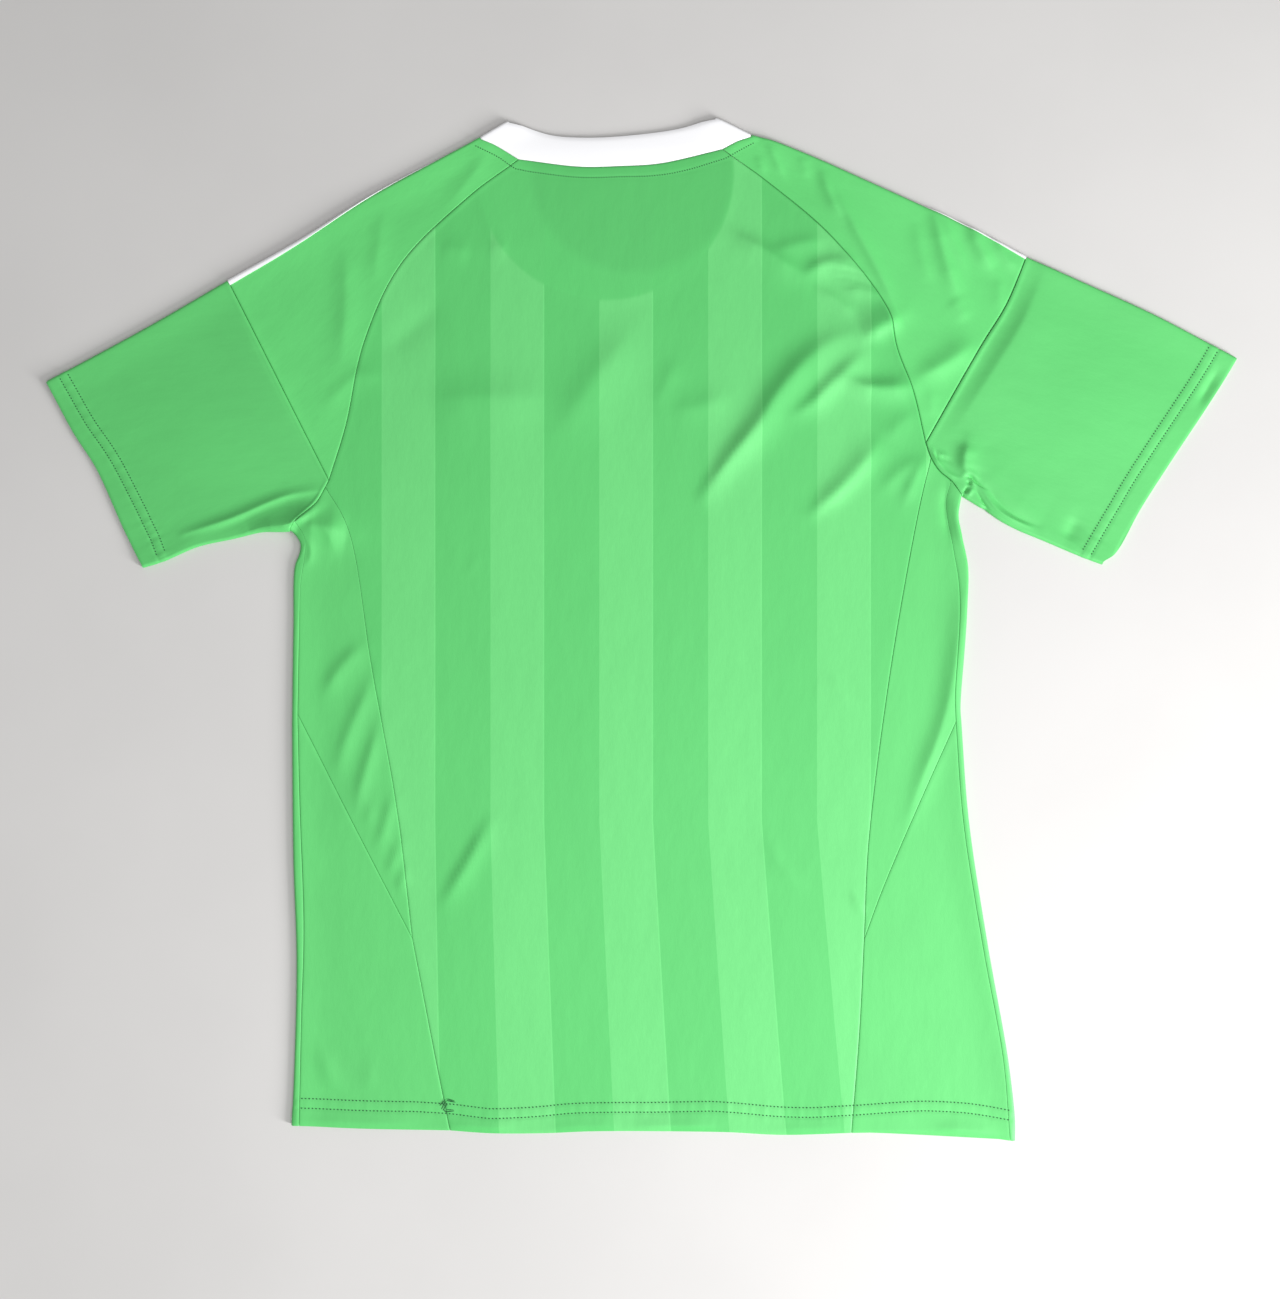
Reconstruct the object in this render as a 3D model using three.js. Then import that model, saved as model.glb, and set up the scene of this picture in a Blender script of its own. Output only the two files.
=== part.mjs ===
// A short-sleeved football jersey, laid flat with its back upwards, as the pieces it is sewn from.
// Millimetres. +X is the wearer's right, +Y runs from the hem to the neck, and Z = 0 is the table.
// Lengths along the outline are sizes of a men's medium: 501 mm between the armpits, 763 mm long.
import * as THREE from "three";

// Cloth and seams
const CLOTH = 1.2; // wall of every piece
const SEAM_GAP = 0.3; // between two pieces that are sewn together
const LAYER_GAP = 0.3; // between two layers that lie on each other
const TOP_LAYER = CLOTH + LAYER_GAP; // underside of the top layer where it lies on the lower one
const EDGE_LIFT = 1.4; // how much higher the top layer stands along a folded edge
const EDGE_REACH = 14; // how far in from a folded edge that lift fades
const TURN_STEPS = 4; // faces round a folded edge

// Neck facing and shoulder tapes
const FACING = { x: -27, y: 340, halfWidth: 92, depth: 92, cloth: 1.0, from: 195, to: 345, inset: 3 };
const FACING_STEP = { fade: 0.12, neckFrom: 356, neckTo: 370 }; // where the back rises over the facing
const TAPE = { cloth: 1.0, gap: 0.35, under: 100, steps: 4 }; // under: degrees that it goes round the fold

// Divisions of the seams, shared by the pieces on both sides of each seam
const ROWS = { raglan: 10, sideUpper: 12, sideLower: 10, sleeve: 8, facing: 6 };
const COLUMNS = { back: 12, backFiner: 2, front: 8, sleeveSeam: 8, neckEnd: 4, side: 6, facing: 12 };
const CROWDING = 0.3; // columns of the back lie closer towards the right, where the folds are
const FINER = { backRows: 2, raglanColumns: 2, sideTop: 3 }; // steps for each step of a seam's coarser piece
const ARMHOLE_STEPS = 4; // one to the side seam, two to the front's wrapped edge, one to the armpit
const ARMHOLE_AT_SIDE = 1;
const ARMHOLE_AT_WRAP = 3;

// Outline of each half, seen from above: x, y
const HALVES = {
  left: {
    collarCorner: [-100, 379.5],
    neckEnd: [[-92, 350.5], [-106, 359], [-121, 367]],
    frontNeckEnd: [[-121, 367], [-118, 343], [-113.5, 321]],
    shoulder: [[-121, 367], [-153, 350], [-206, 321], [-254.6, 290.8], [-309.5, 260]],
    sleeveTop: [[-309.5, 260], [-371, 224.4], [-445.3, 184.3]],
    cuff: [[-445.3, 184.3], [-425.7, 147.1], [-407.9, 119.2], [-387, 73], [-373, 45]],
    underarm: [[-262, 73.3], [-282.5, 71.6], [-307, 66.2], [-332, 60.6], [-357, 50], [-373, 45]],
    sleeveSeam: [[-309.5, 260], [-270, 182], [-234, 110.5]],
    raglan: [[-92, 350.5], [-129, 323], [-180.5, 271.5], [-207.5, 214.5], [-221.5, 151], [-234, 110.5]],
    frontRaglan: [[-113.5, 321], [-158, 270], [-192, 215], [-215, 165], [-234, 110.5]],
    armhole: [[-234, 110.5], [-236.5, 105.5], [-243, 94], [-258, 79.5], [-262, 73.3]],
    bodyEdge: [[-262, 73.3], [-255.2, 64], [-255.6, 56.5], [-259.4, 46], [-260.5, 0], [-261.5, -73]],
    bodyEdgeLower: [[-261.5, -73], [-260.5, -174], [-258.1, -250], [-260.5, -345], [-262, -372]],
    wrap: [[-258, 79.5], [-250.8, 66], [-251.5, 54], [-254.5, 34], [-256, -9], [-257, -64.5]],
    wrapLower: [[-257, -64.5], [-255.5, -129], [-252.5, -225], [-254.3, -290], [-256, -372.3]],
    side: [[-236.5, 105.5], [-219.5, 75], [-202, -28], [-182.5, -138], [-171.5, -232]],
    sideLower: [[-171.5, -232], [-153.5, -325.5], [-143.3, -375.9]],
    diagonal: [[-257, -64.5], [-221, -136], [-171.5, -232]],
    hem: [[-256, -372.3], [-213.5, -374.4], [-143.3, -375.9]],
  },
  right: {
    collarCorner: [56, 382],
    neckEnd: [[60.5, 358], [71, 363.5], [82.3, 368.8]],
    frontNeckEnd: [[82.3, 368.8], [76, 338], [62.5, 310]],
    shoulder: [[82.3, 368.8], [98, 364.8], [126.5, 353.5], [164, 336.8], [241, 301.5], [288, 277.6]],
    sleeveTop: [[288, 277.6], [332.5, 257.7], [384, 234.2], [445.3, 201.9]],
    cuff: [[445.3, 201.9], [433.5, 181.3], [396, 124.4], [373.6, 89.3], [355, 56.5], [344.5, 47.6]],
    underarm: [[239.4, 98.7], [252.7, 90.4], [276, 75.8], [302.6, 64.4], [328, 53.6], [344.5, 47.6]],
    sleeveSeam: [[288, 277.6], [273, 242], [253, 209.5], [212.5, 138.5]],
    raglan: [
      [60.5, 358], [94, 334], [142, 292.5], [183.5, 239], [191.5, 208.5], [203.5, 176], [212.5, 138.5],
    ],
    frontRaglan: [[62.5, 310], [112, 270], [150, 232], [183, 190], [212.5, 138.5]],
    armhole: [[212.5, 138.5], [216.5, 127], [222.5, 117.8], [231.5, 110], [239.4, 98.7]],
    bodyEdge: [
      [239.4, 98.7], [237.3, 84], [239.6, 69], [244.4, 46], [243.4, 10], [238.4, -58.5], [239.2, -70],
    ],
    bodyEdgeLower: [[239.2, -70], [245, -144], [259, -236], [274.6, -324], [279.5, -368], [279.5, -383.4]],
    wrap: [[231.5, 110], [228, 94], [233, 60], [237, 36], [237.7, 12.5], [234, -50], [234.7, -70]],
    wrapLower: [[234.7, -70], [240.4, -144], [254.8, -236], [270.6, -324], [275.4, -383.2]],
    side: [[216.5, 127], [208, 91], [187, -25.5], [170, -159], [166.5, -232.5]],
    sideLower: [[166.5, -232.5], [163, -301.5], [157, -377.8]],
    diagonal: [[234.7, -70], [205, -137], [180, -196], [166.5, -232.5]],
    hem: [[275.4, -383.2], [247.5, -379.8], [212, -377.3], [157, -377.8]],
  },
};

// Neckline and hem between the two halves: x, y
const BACK_NECK = [[-92, 350.5], [-46, 345], [-16, 345.5], [14, 347.5], [60.5, 358]];
const COLLAR_TOP = [[-100, 379.5], [-68.5, 369], [-46, 367], [-16, 368], [27.5, 373.5], [56, 382]];
const FRONT_NECK = [[-113.5, 321], [-86.5, 270], [-31, 248], [25, 267], [62.5, 310]];
const FRONT_COLLAR_TOP = [
  [-100, 379.5], [-91, 328.5], [-70, 286.5], [-27.5, 266], [15.5, 283.5], [42.5, 325], [56, 382],
];
const BACK_HEM = [
  [-143.3, -375.9], [-112, -378], [-72, -378], [-38, -376.6], [60, -377.1], [104, -379.2], [157, -377.8],
];

// Points inside the garment, from which its folded edges face away
const CHEST = new THREE.Vector3(-10, 150, 0);
const WAIST = new THREE.Vector3(-10, -100, 0);

// Broad soft rises of the top layer: centre x, y, reach along X and Y, height
const SWELLS = [
  { x: 120, y: 165, reachX: 95, reachY: 110, height: 1.9 },
  { x: -110, y: 110, reachX: 90, reachY: 70, height: 1.1 },
  { x: -20, y: -60, reachX: 120, reachY: 110, height: 0.8 },
  { x: 190, y: -60, reachX: 60, reachY: 120, height: 1.3 },
  { x: -200, y: -120, reachX: 50, reachY: 120, height: 1.0 },
  { x: -120, y: -220, reachX: 60, reachY: 80, height: 1.2 },
  { x: 120, y: -260, reachX: 90, reachY: 80, height: 0.9 },
  { x: -330, y: 150, reachX: 60, reachY: 60, height: 1.8 },
  { x: 330, y: 165, reachX: 65, reachY: 60, height: 1.9 },
  { x: 150, y: 300, reachX: 60, reachY: 35, height: 1.2 },
  { x: -200, y: 285, reachX: 70, reachY: 35, height: 0.9 },
];

// Largest folds of the top layer: ends x, y, sideways bow of the middle, half width, height
const FOLDS = [
  { x0: 162, y0: 219, x1: 56, y1: 98, bow: 12, width: 11, height: 5.2 },
  { x0: 168, y0: 203, x1: 128, y1: 165, bow: 3, width: 8, height: 3.2 },
  { x0: 199, y0: 188, x1: 158, y1: 184, bow: 1, width: 8, height: 2.4 },
  { x0: 178, y0: 134, x1: 132, y1: 85, bow: 3, width: 11, height: 4.2 },
  { x0: 211, y0: 124, x1: 197, y1: 93, bow: 1, width: 9, height: 2.8 },
  { x0: 68, y0: 285, x1: 186, y1: 226, bow: -3, width: 10, height: 3.2 },
  { x0: 235, y0: 34, x1: 203, y1: -122, bow: -6, width: 11, height: 3.2 },
  { x0: -350, y0: 72, x1: -247, y1: 102, bow: 3, width: 10, height: 3.6 },
  { x0: -206, y0: -15, x1: -232, y1: -43, bow: -2, width: 9, height: 2.6 },
  { x0: -205, y0: -54, x1: -225, y1: -102, bow: -3, width: 9, height: 2.8 },
  { x0: -110, y0: -138, x1: -147, y1: -203, bow: -3, width: 11, height: 3.6 },
  { x0: 213, y0: 303, x1: 231, y1: 262, bow: 0, width: 9, height: 2.6 },
  { x0: 243, y0: 296, x1: 262, y1: 262, bow: 1, width: 9, height: 2.6 },
  { x0: 258, y0: 110, x1: 288, y1: 76, bow: -2, width: 10, height: 3.0 },
];
const FOLD_ENDS = 0.35; // share of a fold's height that is left at its ends
const UNDERARM_EASING = 0.3; // how far the sleeve's second turn is bent towards the armhole

// Shoulder tapes: how far in from the fold each one shows, at its neck end and at its sleeve end
const TAPE_SHOWN = {
  left: { neck: 1.0, sleeve: 6.5, from: 2 },
  right: { neck: 0.4, sleeve: 2.4, from: 6 },
};

const KNIT = { roughness: 0.62, metalness: 0 };
const COLOURS = { back: "#74da80", sleeve: "#6cd07a", front: "#68cc76", side: "#70d47e", white: "#f6f6fa" };

// Plan curves

const point = ([x, y]) => new THREE.Vector3(x, y, 0);

// A smooth curve through a few points, cut into equal lengths.
function cut(points, steps) {
  const curve = new THREE.CatmullRomCurve3(points.map(point), false, "centripetal");
  return curve.getSpacedPoints(steps);
}

// The same, cut at given shares of its length.
function cutAt(points, shares) {
  const curve = new THREE.CatmullRomCurve3(points.map(point), false, "centripetal");
  return shares.map((share) => curve.getPointAt(share));
}

// Puts more points on each straight piece of a cut line, so that both sides of a seam stay the same line.
function finer(line, times) {
  return line.flatMap((p, i) => {
    if (i === line.length - 1) return [p];
    return Array.from({ length: times }, (_, k) => p.clone().lerp(line[i + 1], k / times));
  });
}

// Joins lines end to end, dropping the doubled corners.
const chain = (...lines) => lines.flatMap((line, i) => (i ? line.slice(1) : line));

// Share of its length at which each point of a line lies.
function shares(line) {
  const along = [0];
  for (let i = 1; i < line.length; i++) along.push(along[i - 1] + line[i].distanceTo(line[i - 1]));
  return along.map((length) => length / along.at(-1));
}

// Unit vectors square to a line in plan, on the side that faces away from the garment.
function outwards(line, middle) {
  return line.map((p, i) => {
    const along = line[Math.min(i + 1, line.length - 1)].clone().sub(line[Math.max(i - 1, 0)]);
    const square = new THREE.Vector3(along.y, -along.x, 0).normalize();
    return square.dot(p.clone().sub(middle)) < 0 ? square.negate() : square;
  });
}

// A four-sided patch between two lines of rows and two lines of columns.
function patch(left, right, top, bottom) {
  const [down, downRight, over, overBottom] = [left, right, top, bottom].map(shares);
  return left.map((_, i) =>
    top.map((_, j) => {
      const v = (down[i] + downRight[i]) / 2;
      const u = (over[j] + overBottom[j]) / 2;
      const rows = top[j].clone().lerp(bottom[j], v);
      const columns = left[i].clone().lerp(right[i], u);
      const leftEnd = top[0].clone().lerp(bottom[0], v);
      const rightEnd = top.at(-1).clone().lerp(bottom.at(-1), v);
      return rows.add(columns).sub(leftEnd.lerp(rightEnd, u));
    }),
  );
}

// Draws a patch's sewn edges in by half a seam gap.
function drawIn(grid, edges) {
  const last = { i: grid.length - 1, j: grid[0].length - 1 };
  const moves = [];
  const edge = (length, at, inner) => {
    for (let k = 0; k < length; k++) {
      const along = at(Math.min(k + 1, length - 1)).clone().sub(at(Math.max(k - 1, 0)));
      const square = new THREE.Vector3(along.y, -along.x, 0).normalize();
      if (square.dot(inner(k).clone().sub(at(k))) < 0) square.negate();
      moves.push([at(k), square.multiplyScalar(SEAM_GAP / 2)]);
    }
  };
  if (edges.includes("left")) edge(last.i + 1, (i) => grid[i][0], (i) => grid[i][1]);
  if (edges.includes("right")) edge(last.i + 1, (i) => grid[i][last.j], (i) => grid[i][last.j - 1]);
  if (edges.includes("top")) edge(last.j + 1, (j) => grid[0][j], (j) => grid[1][j]);
  if (edges.includes("bottom")) edge(last.j + 1, (j) => grid[last.i][j], (j) => grid[last.i - 1][j]);
  for (const [p, move] of moves) p.add(move);
  return grid;
}

// Seams and folded edges of one half, all cut once
function layOut(half) {
  const line = {
    raglan: cut(half.raglan, ROWS.raglan),
    frontRaglan: cut(half.frontRaglan, ROWS.raglan),
    armhole: cut(half.armhole, ARMHOLE_STEPS),
    side: cut(half.side, ROWS.sideUpper),
    sideLower: cut(half.sideLower, ROWS.sideLower),
    wrap: cut(half.wrap, ROWS.sideUpper),
    wrapLower: cut(half.wrapLower, ROWS.sideLower),
    diagonal: cut(half.diagonal, COLUMNS.side),
    hem: cut(half.hem, COLUMNS.side),
    sleeveSeam: cut(half.sleeveSeam, COLUMNS.sleeveSeam),
    neckEnd: cut(half.neckEnd, COLUMNS.neckEnd),
    frontNeckEnd: cut(half.frontNeckEnd, COLUMNS.neckEnd),
  };
  // The armhole's marked corners are the ends of other seams.
  line.armhole[ARMHOLE_AT_SIDE] = point(half.armhole[1]);
  line.armhole[2] = point(half.armhole[2]);
  line.armhole[ARMHOLE_AT_WRAP] = point(half.armhole[3]);
  const collarFold = [point(half.collarCorner), point(half.collarCorner).lerp(point(half.shoulder[0]), 0.5)];
  const shoulder = cut(half.shoulder, ROWS.raglan);
  const sleeveTop = cut(half.sleeveTop, ROWS.sleeve);
  const underarm = cut(half.underarm, ROWS.sleeve);
  const bodyEdge = chain(cut(half.bodyEdge, ROWS.sideUpper), cut(half.bodyEdgeLower, ROWS.sideLower));
  return { ...line, collarFold, shoulder, sleeveTop, underarm, bodyEdge };
}

const LINES = { left: layOut(HALVES.left), right: layOut(HALVES.right) };
const FOLDED_EDGES = Object.values(LINES).flatMap((line) => [
  chain(line.collarFold, line.shoulder, line.sleeveTop),
  line.underarm,
  line.bodyEdge,
]);

// Height of the top layer

const fade = (from, to, value) => 1 - THREE.MathUtils.smoothstep(value, from, to);

function distanceToEdges(p) {
  const nearest = new THREE.Vector3();
  const piece = new THREE.Line3();
  let least = Infinity;
  for (const line of FOLDED_EDGES) {
    for (let i = 1; i < line.length; i++) {
      piece.set(line[i - 1], line[i]).closestPointToPoint(p, true, nearest);
      least = Math.min(least, nearest.distanceTo(p));
    }
  }
  return least;
}

function foldHeight(p, { x0, y0, x1, y1, bow, width, height }) {
  const length = Math.hypot(x1 - x0, y1 - y0);
  const along = ((p.x - x0) * (x1 - x0) + (p.y - y0) * (y1 - y0)) / length;
  const across = ((p.x - x0) * (y0 - y1) + (p.y - y0) * (x1 - x0)) / length;
  const share = THREE.MathUtils.clamp(along / length, 0, 1);
  const past = along < 0 ? -along : Math.max(along - length, 0);
  const off = across + bow * 4 * share * (1 - share);
  const thinning = FOLD_ENDS + (1 - FOLD_ENDS) * Math.sin(Math.PI * share);
  return height * thinning * Math.exp(-((off * off + past * past) / (width * width)));
}

function swellHeight(p, { x, y, reachX, reachY, height }) {
  return height * Math.exp(-(((p.x - x) / reachX) ** 2) - ((p.y - y) / reachY) ** 2);
}

function facingStep(p) {
  const out = Math.hypot((p.x - FACING.x) / FACING.halfWidth, (p.y - FACING.y) / FACING.depth);
  const rise = FACING.cloth + LAYER_GAP;
  return rise * fade(1, 1 + FACING_STEP.fade, out) * fade(FACING_STEP.neckFrom, FACING_STEP.neckTo, p.y);
}

// Height of the top layer's underside at a place in plan.
function lift(p) {
  const place = new THREE.Vector3(p.x, p.y, 0);
  const edge = EDGE_LIFT * Math.exp(-((distanceToEdges(place) / EDGE_REACH) ** 2));
  const folds = FOLDS.reduce((sum, fold) => sum + foldHeight(place, fold), 0);
  const swells = SWELLS.reduce((sum, swell) => sum + swellHeight(place, swell), 0);
  return TOP_LAYER + edge + folds + swells + facingStep(place);
}

// Cloth

const raise = (p, z) => new THREE.Vector3(p.x, p.y, z);

// A row of the top layer and of the lower layer, as outer and inner points.
const topRow = (row) => ({
  outer: row.map((p) => raise(p, lift(p) + CLOTH)),
  inner: row.map((p) => raise(p, lift(p))),
});
const lowRow = (row) => ({ outer: row.map((p) => raise(p, 0)), inner: row.map((p) => raise(p, CLOTH)) });

// The points between the two layers where the cloth turns over a folded edge, from the top downwards.
function turn(start, out) {
  const radius = (lift(start) + CLOTH) / 2;
  const round = (r) =>
    Array.from({ length: TURN_STEPS - 1 }, (_, k) => {
      const angle = ((k + 1) * Math.PI) / TURN_STEPS;
      return raise(start, radius + r * Math.cos(angle)).addScaledVector(out, r * Math.sin(angle));
    });
  return { outer: round(radius), inner: round(radius - CLOTH) };
}

const backwards = ({ outer, inner }) => ({ outer: outer.toReversed(), inner: inner.toReversed() });
const section = (...parts) => ({
  outer: parts.flatMap((part) => part.outer),
  inner: parts.flatMap((part) => part.inner),
});

// Where the cloth starts to turn, inside a folded edge by the turn's radius.
const turnStarts = (line, out) =>
  line.map((p, i) => p.clone().addScaledVector(out[i], -(lift(p) + CLOTH) / 2));

// One closed wall from rows of outer and inner points. Left-out cells leave an opening with a rim.
function cloth(rows, { ring = false, leftOut = () => false } = {}) {
  const columns = rows[0].outer.length;
  const across = ring ? columns : columns - 1;
  const sides = [rows.map((row) => row.outer), rows.map((row) => row.inner)];
  const positions = sides.flatMap((side) => side.flat().flatMap((p) => p.toArray()));
  const at = (side, i, j) => (side * rows.length + i) * columns + (j % columns);
  const isCloth = (i, j) => {
    const column = ring ? (j + across) % across : j;
    return i >= 0 && i < rows.length - 1 && column >= 0 && column < across && !leftOut(i, column);
  };
  const faces = [];
  const quad = (a, b, c, d) => faces.push(a, b, c, a, c, d);
  for (let i = 0; i < rows.length - 1; i++) {
    for (let j = 0; j < across; j++) {
      if (!isCloth(i, j)) continue;
      quad(at(0, i, j), at(0, i + 1, j), at(0, i + 1, j + 1), at(0, i, j + 1));
      quad(at(1, i, j), at(1, i, j + 1), at(1, i + 1, j + 1), at(1, i + 1, j));
      if (!isCloth(i - 1, j)) quad(at(0, i, j), at(0, i, j + 1), at(1, i, j + 1), at(1, i, j));
      if (!isCloth(i + 1, j)) {
        quad(at(0, i + 1, j), at(1, i + 1, j), at(1, i + 1, j + 1), at(0, i + 1, j + 1));
      }
      if (!isCloth(i, j - 1)) quad(at(0, i, j), at(1, i, j), at(1, i + 1, j), at(0, i + 1, j));
      if (!isCloth(i, j + 1)) {
        quad(at(0, i, j + 1), at(0, i + 1, j + 1), at(1, i + 1, j + 1), at(1, i, j + 1));
      }
    }
  }
  const geometry = new THREE.BufferGeometry();
  geometry.setAttribute("position", new THREE.Float32BufferAttribute(positions, 3));
  geometry.setIndex(volume(positions, faces) < 0 ? faces.toReversed() : faces);
  geometry.computeVertexNormals();
  return geometry;
}

// Signed volume of a closed surface, which is negative where its faces point inwards.
function volume(positions, faces) {
  const corner = (k) => new THREE.Vector3().fromArray(positions, faces[k] * 3);
  let sum = 0;
  for (let k = 0; k < faces.length; k += 3) sum += corner(k).dot(corner(k + 1).cross(corner(k + 2)));
  return sum / 6;
}

const jersey = new THREE.Group();

function add(name, geometry, colour) {
  const mesh = new THREE.Mesh(geometry, new THREE.MeshStandardMaterial({ color: COLOURS[colour], ...KNIT }));
  mesh.name = name;
  jersey.add(mesh);
}

// Folded edges of one half: where each turn starts and which way it faces
function foldsOf(side) {
  const line = LINES[side];
  const top = chain([...line.collarFold, line.shoulder[0]], line.shoulder, line.sleeveTop);
  const topOut = outwards(top, CHEST);
  const topStart = turnStarts(top, topOut);
  const neck = line.collarFold.length;
  const seam = neck + ROWS.raglan;
  const part = (from, to) => ({ start: topStart.slice(from, to), out: topOut.slice(from, to) });

  // At the armpit both tubes turn along the armhole seam.
  const along = line.armhole.at(-1).clone().sub(line.armhole[ARMHOLE_AT_WRAP]).normalize();
  const underarmOut = outwards(line.underarm, line.sleeveTop[ROWS.sleeve / 2]);
  const bodyOut = outwards(line.bodyEdge, WAIST);
  underarmOut[0] = along.clone();
  bodyOut[0] = along.clone();
  underarmOut[1].addScaledVector(along, UNDERARM_EASING).normalize();
  return {
    collar: part(0, neck + 1),
    raglan: part(neck, seam + 1),
    sleeve: part(seam, top.length),
    underarm: { start: turnStarts(line.underarm, underarmOut), out: underarmOut },
    body: { start: turnStarts(line.bodyEdge, bodyOut), out: bodyOut },
  };
}

const EDGES = { left: foldsOf("left"), right: foldsOf("right") };

// The armhole from the sleeve seam to the armpit, ending where the cloth starts to turn.
function armholeOf(side) {
  return [...LINES[side].armhole.slice(0, -1), EDGES[side].body.start[0]];
}

const crowded = Array.from({ length: COLUMNS.back + 1 }, (_, j) => {
  const share = j / COLUMNS.back;
  return share + CROWDING * share * (1 - share);
});
const backNeck = cutAt(BACK_NECK, crowded);
const frontNeck = cut(FRONT_NECK, COLUMNS.front);
const backHem = cutAt(BACK_HEM, crowded);

// Back: between the raglan seams and the side seams, from the neck band to the hem
function back() {
  const seam = ({ raglan, armhole, side, sideLower }) =>
    chain(finer(raglan, FINER.backRows), armhole.slice(0, ARMHOLE_AT_SIDE + 1), side, sideLower);
  const grid = patch(
    seam(LINES.left),
    seam(LINES.right),
    finer(backNeck, COLUMNS.backFiner),
    finer(backHem, COLUMNS.backFiner),
  );
  return cloth(drawIn(grid, ["left", "right", "top"]).map(topRow));
}

// Front: the lower layer, which wraps over both side edges below the armpits
function front() {
  const armpit = ROWS.raglan + ARMHOLE_STEPS;
  const boundary = (side) =>
    chain(LINES[side].frontRaglan, armholeOf(side), EDGES[side].body.start);
  const [leftEnd, rightEnd] = [boundary("left").at(-1), boundary("right").at(-1)];
  const lowHem = cut([[leftEnd.x, leftEnd.y], ...BACK_HEM, [rightEnd.x, rightEnd.y]], COLUMNS.front);
  const grid = patch(boundary("left"), boundary("right"), frontNeck, lowHem);
  drawIn(grid, ["top"]);
  drawIn(grid.slice(0, armpit + 1), ["left", "right"]);

  const wraps = (side) => {
    const seam = chain(LINES[side].wrap, LINES[side].wrapLower);
    const { start, out } = EDGES[side].body;
    return start.map((p, i) => {
      const gap = i ? out[i].clone().multiplyScalar(SEAM_GAP / 2) : armpitGap(side);
      const sewn = seam[i].clone().add(gap);
      const first = i ? p : p.clone().add(gap);
      return section(topRow([sewn, first]), turn(first, out[i]));
    });
  };
  const wrapped = { left: wraps("left"), right: wraps("right") };
  const empty = new THREE.Vector3();
  const blank = { outer: Array(TURN_STEPS + 1).fill(empty), inner: Array(TURN_STEPS + 1).fill(empty) };
  const rows = grid.map((row, i) => {
    const k = i - armpit;
    const [left, right] = k < 0 ? [blank, blank] : [wrapped.left[k], backwards(wrapped.right[k])];
    return section(left, lowRow(row), right);
  });
  const flatFrom = TURN_STEPS + 1;
  const flatTo = flatFrom + COLUMNS.front;
  return cloth(rows, { leftOut: (i, j) => i < armpit && (j < flatFrom || j >= flatTo) });
}

// Half a seam gap square to the armhole seam at the armpit, towards the body.
function armpitGap(side) {
  const { armhole } = LINES[side];
  const along = armhole.at(-1).clone().sub(armhole[ARMHOLE_AT_WRAP]).normalize();
  const square = new THREE.Vector3(along.y, -along.x, 0);
  if (square.x * armhole[0].x > 0) square.negate();
  return square.multiplyScalar(SEAM_GAP / 2);
}

// Side panels: plain pieces between the back and the wrapped edge of the front
function sideUpper(side) {
  const { armhole, side: seam, wrap, diagonal } = LINES[side];
  const top = finer(armhole.slice(ARMHOLE_AT_SIDE, ARMHOLE_AT_WRAP + 1).toReversed(), FINER.sideTop);
  const grid = patch(wrap, seam, top, diagonal);
  return cloth(drawIn(grid, ["left", "right", "top", "bottom"]).map(topRow));
}

function sideLower(side) {
  const { sideLower: seam, wrapLower, diagonal, hem } = LINES[side];
  const grid = patch(wrapLower, seam, diagonal, hem);
  return cloth(drawIn(grid, ["left", "right", "top"]).map(topRow));
}

// Raglan shoulder: from the back seam over the shoulder to the front seam
function raglan(side) {
  const { raglan: seam, frontRaglan, neckEnd, frontNeckEnd, sleeveSeam } = LINES[side];
  const { start, out } = EDGES[side].raglan;
  const backEnd = [...neckEnd.slice(0, -1), start[0]];
  const frontEnd = [start[0], ...frontNeckEnd.slice(1)];
  const sleeveEnd = [start.at(-1), ...sleeveSeam.slice(1)];
  const lowSleeveEnd = sleeveEnd.filter((_, j) => j % FINER.raglanColumns === 0);
  const above = patch(seam, start, finer(backEnd, FINER.raglanColumns), sleeveEnd.toReversed());
  const below = patch(start, frontRaglan, frontEnd, lowSleeveEnd);
  drawIn(above, ["left", "top", "bottom"]);
  drawIn(below, ["right", "top", "bottom"]);
  return cloth(
    above.map((row, i) => {
      const low = [row.at(-1), ...below[i].slice(1)];
      return section(topRow(row), turn(row.at(-1), out[i]), lowRow(low));
    }),
  );
}

// Sleeve: a flattened tube from the sleeve seam and the armhole to the cuff
function sleeve(side) {
  const { sleeveSeam } = LINES[side];
  const { sleeve: fold, underarm } = EDGES[side];
  const armhole = armholeOf(side);
  const inner = chain([fold.start[0], ...sleeveSeam.slice(1)], armhole);
  const lowInner = inner.filter((_, j) => j >= COLUMNS.sleeveSeam || j % FINER.raglanColumns === 0);
  const layer = (end) => {
    const cuff = cutAt(HALVES[side].cuff, shares(end));
    cuff[0] = fold.start.at(-1);
    cuff[cuff.length - 1] = underarm.start.at(-1);
    return drawIn(patch(fold.start, underarm.start, end, cuff), ["top"]);
  };
  const above = layer(inner);
  const below = layer(lowInner);
  return cloth(
    above.map((row, k) => {
      const low = [row[0], ...below[k].slice(1, -1), row.at(-1)];
      return section(
        topRow(row),
        turn(row.at(-1), underarm.out[k]),
        backwards(lowRow(low)),
        backwards(turn(row[0], fold.out[k])),
      );
    }),
    { ring: true },
  );
}

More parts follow.
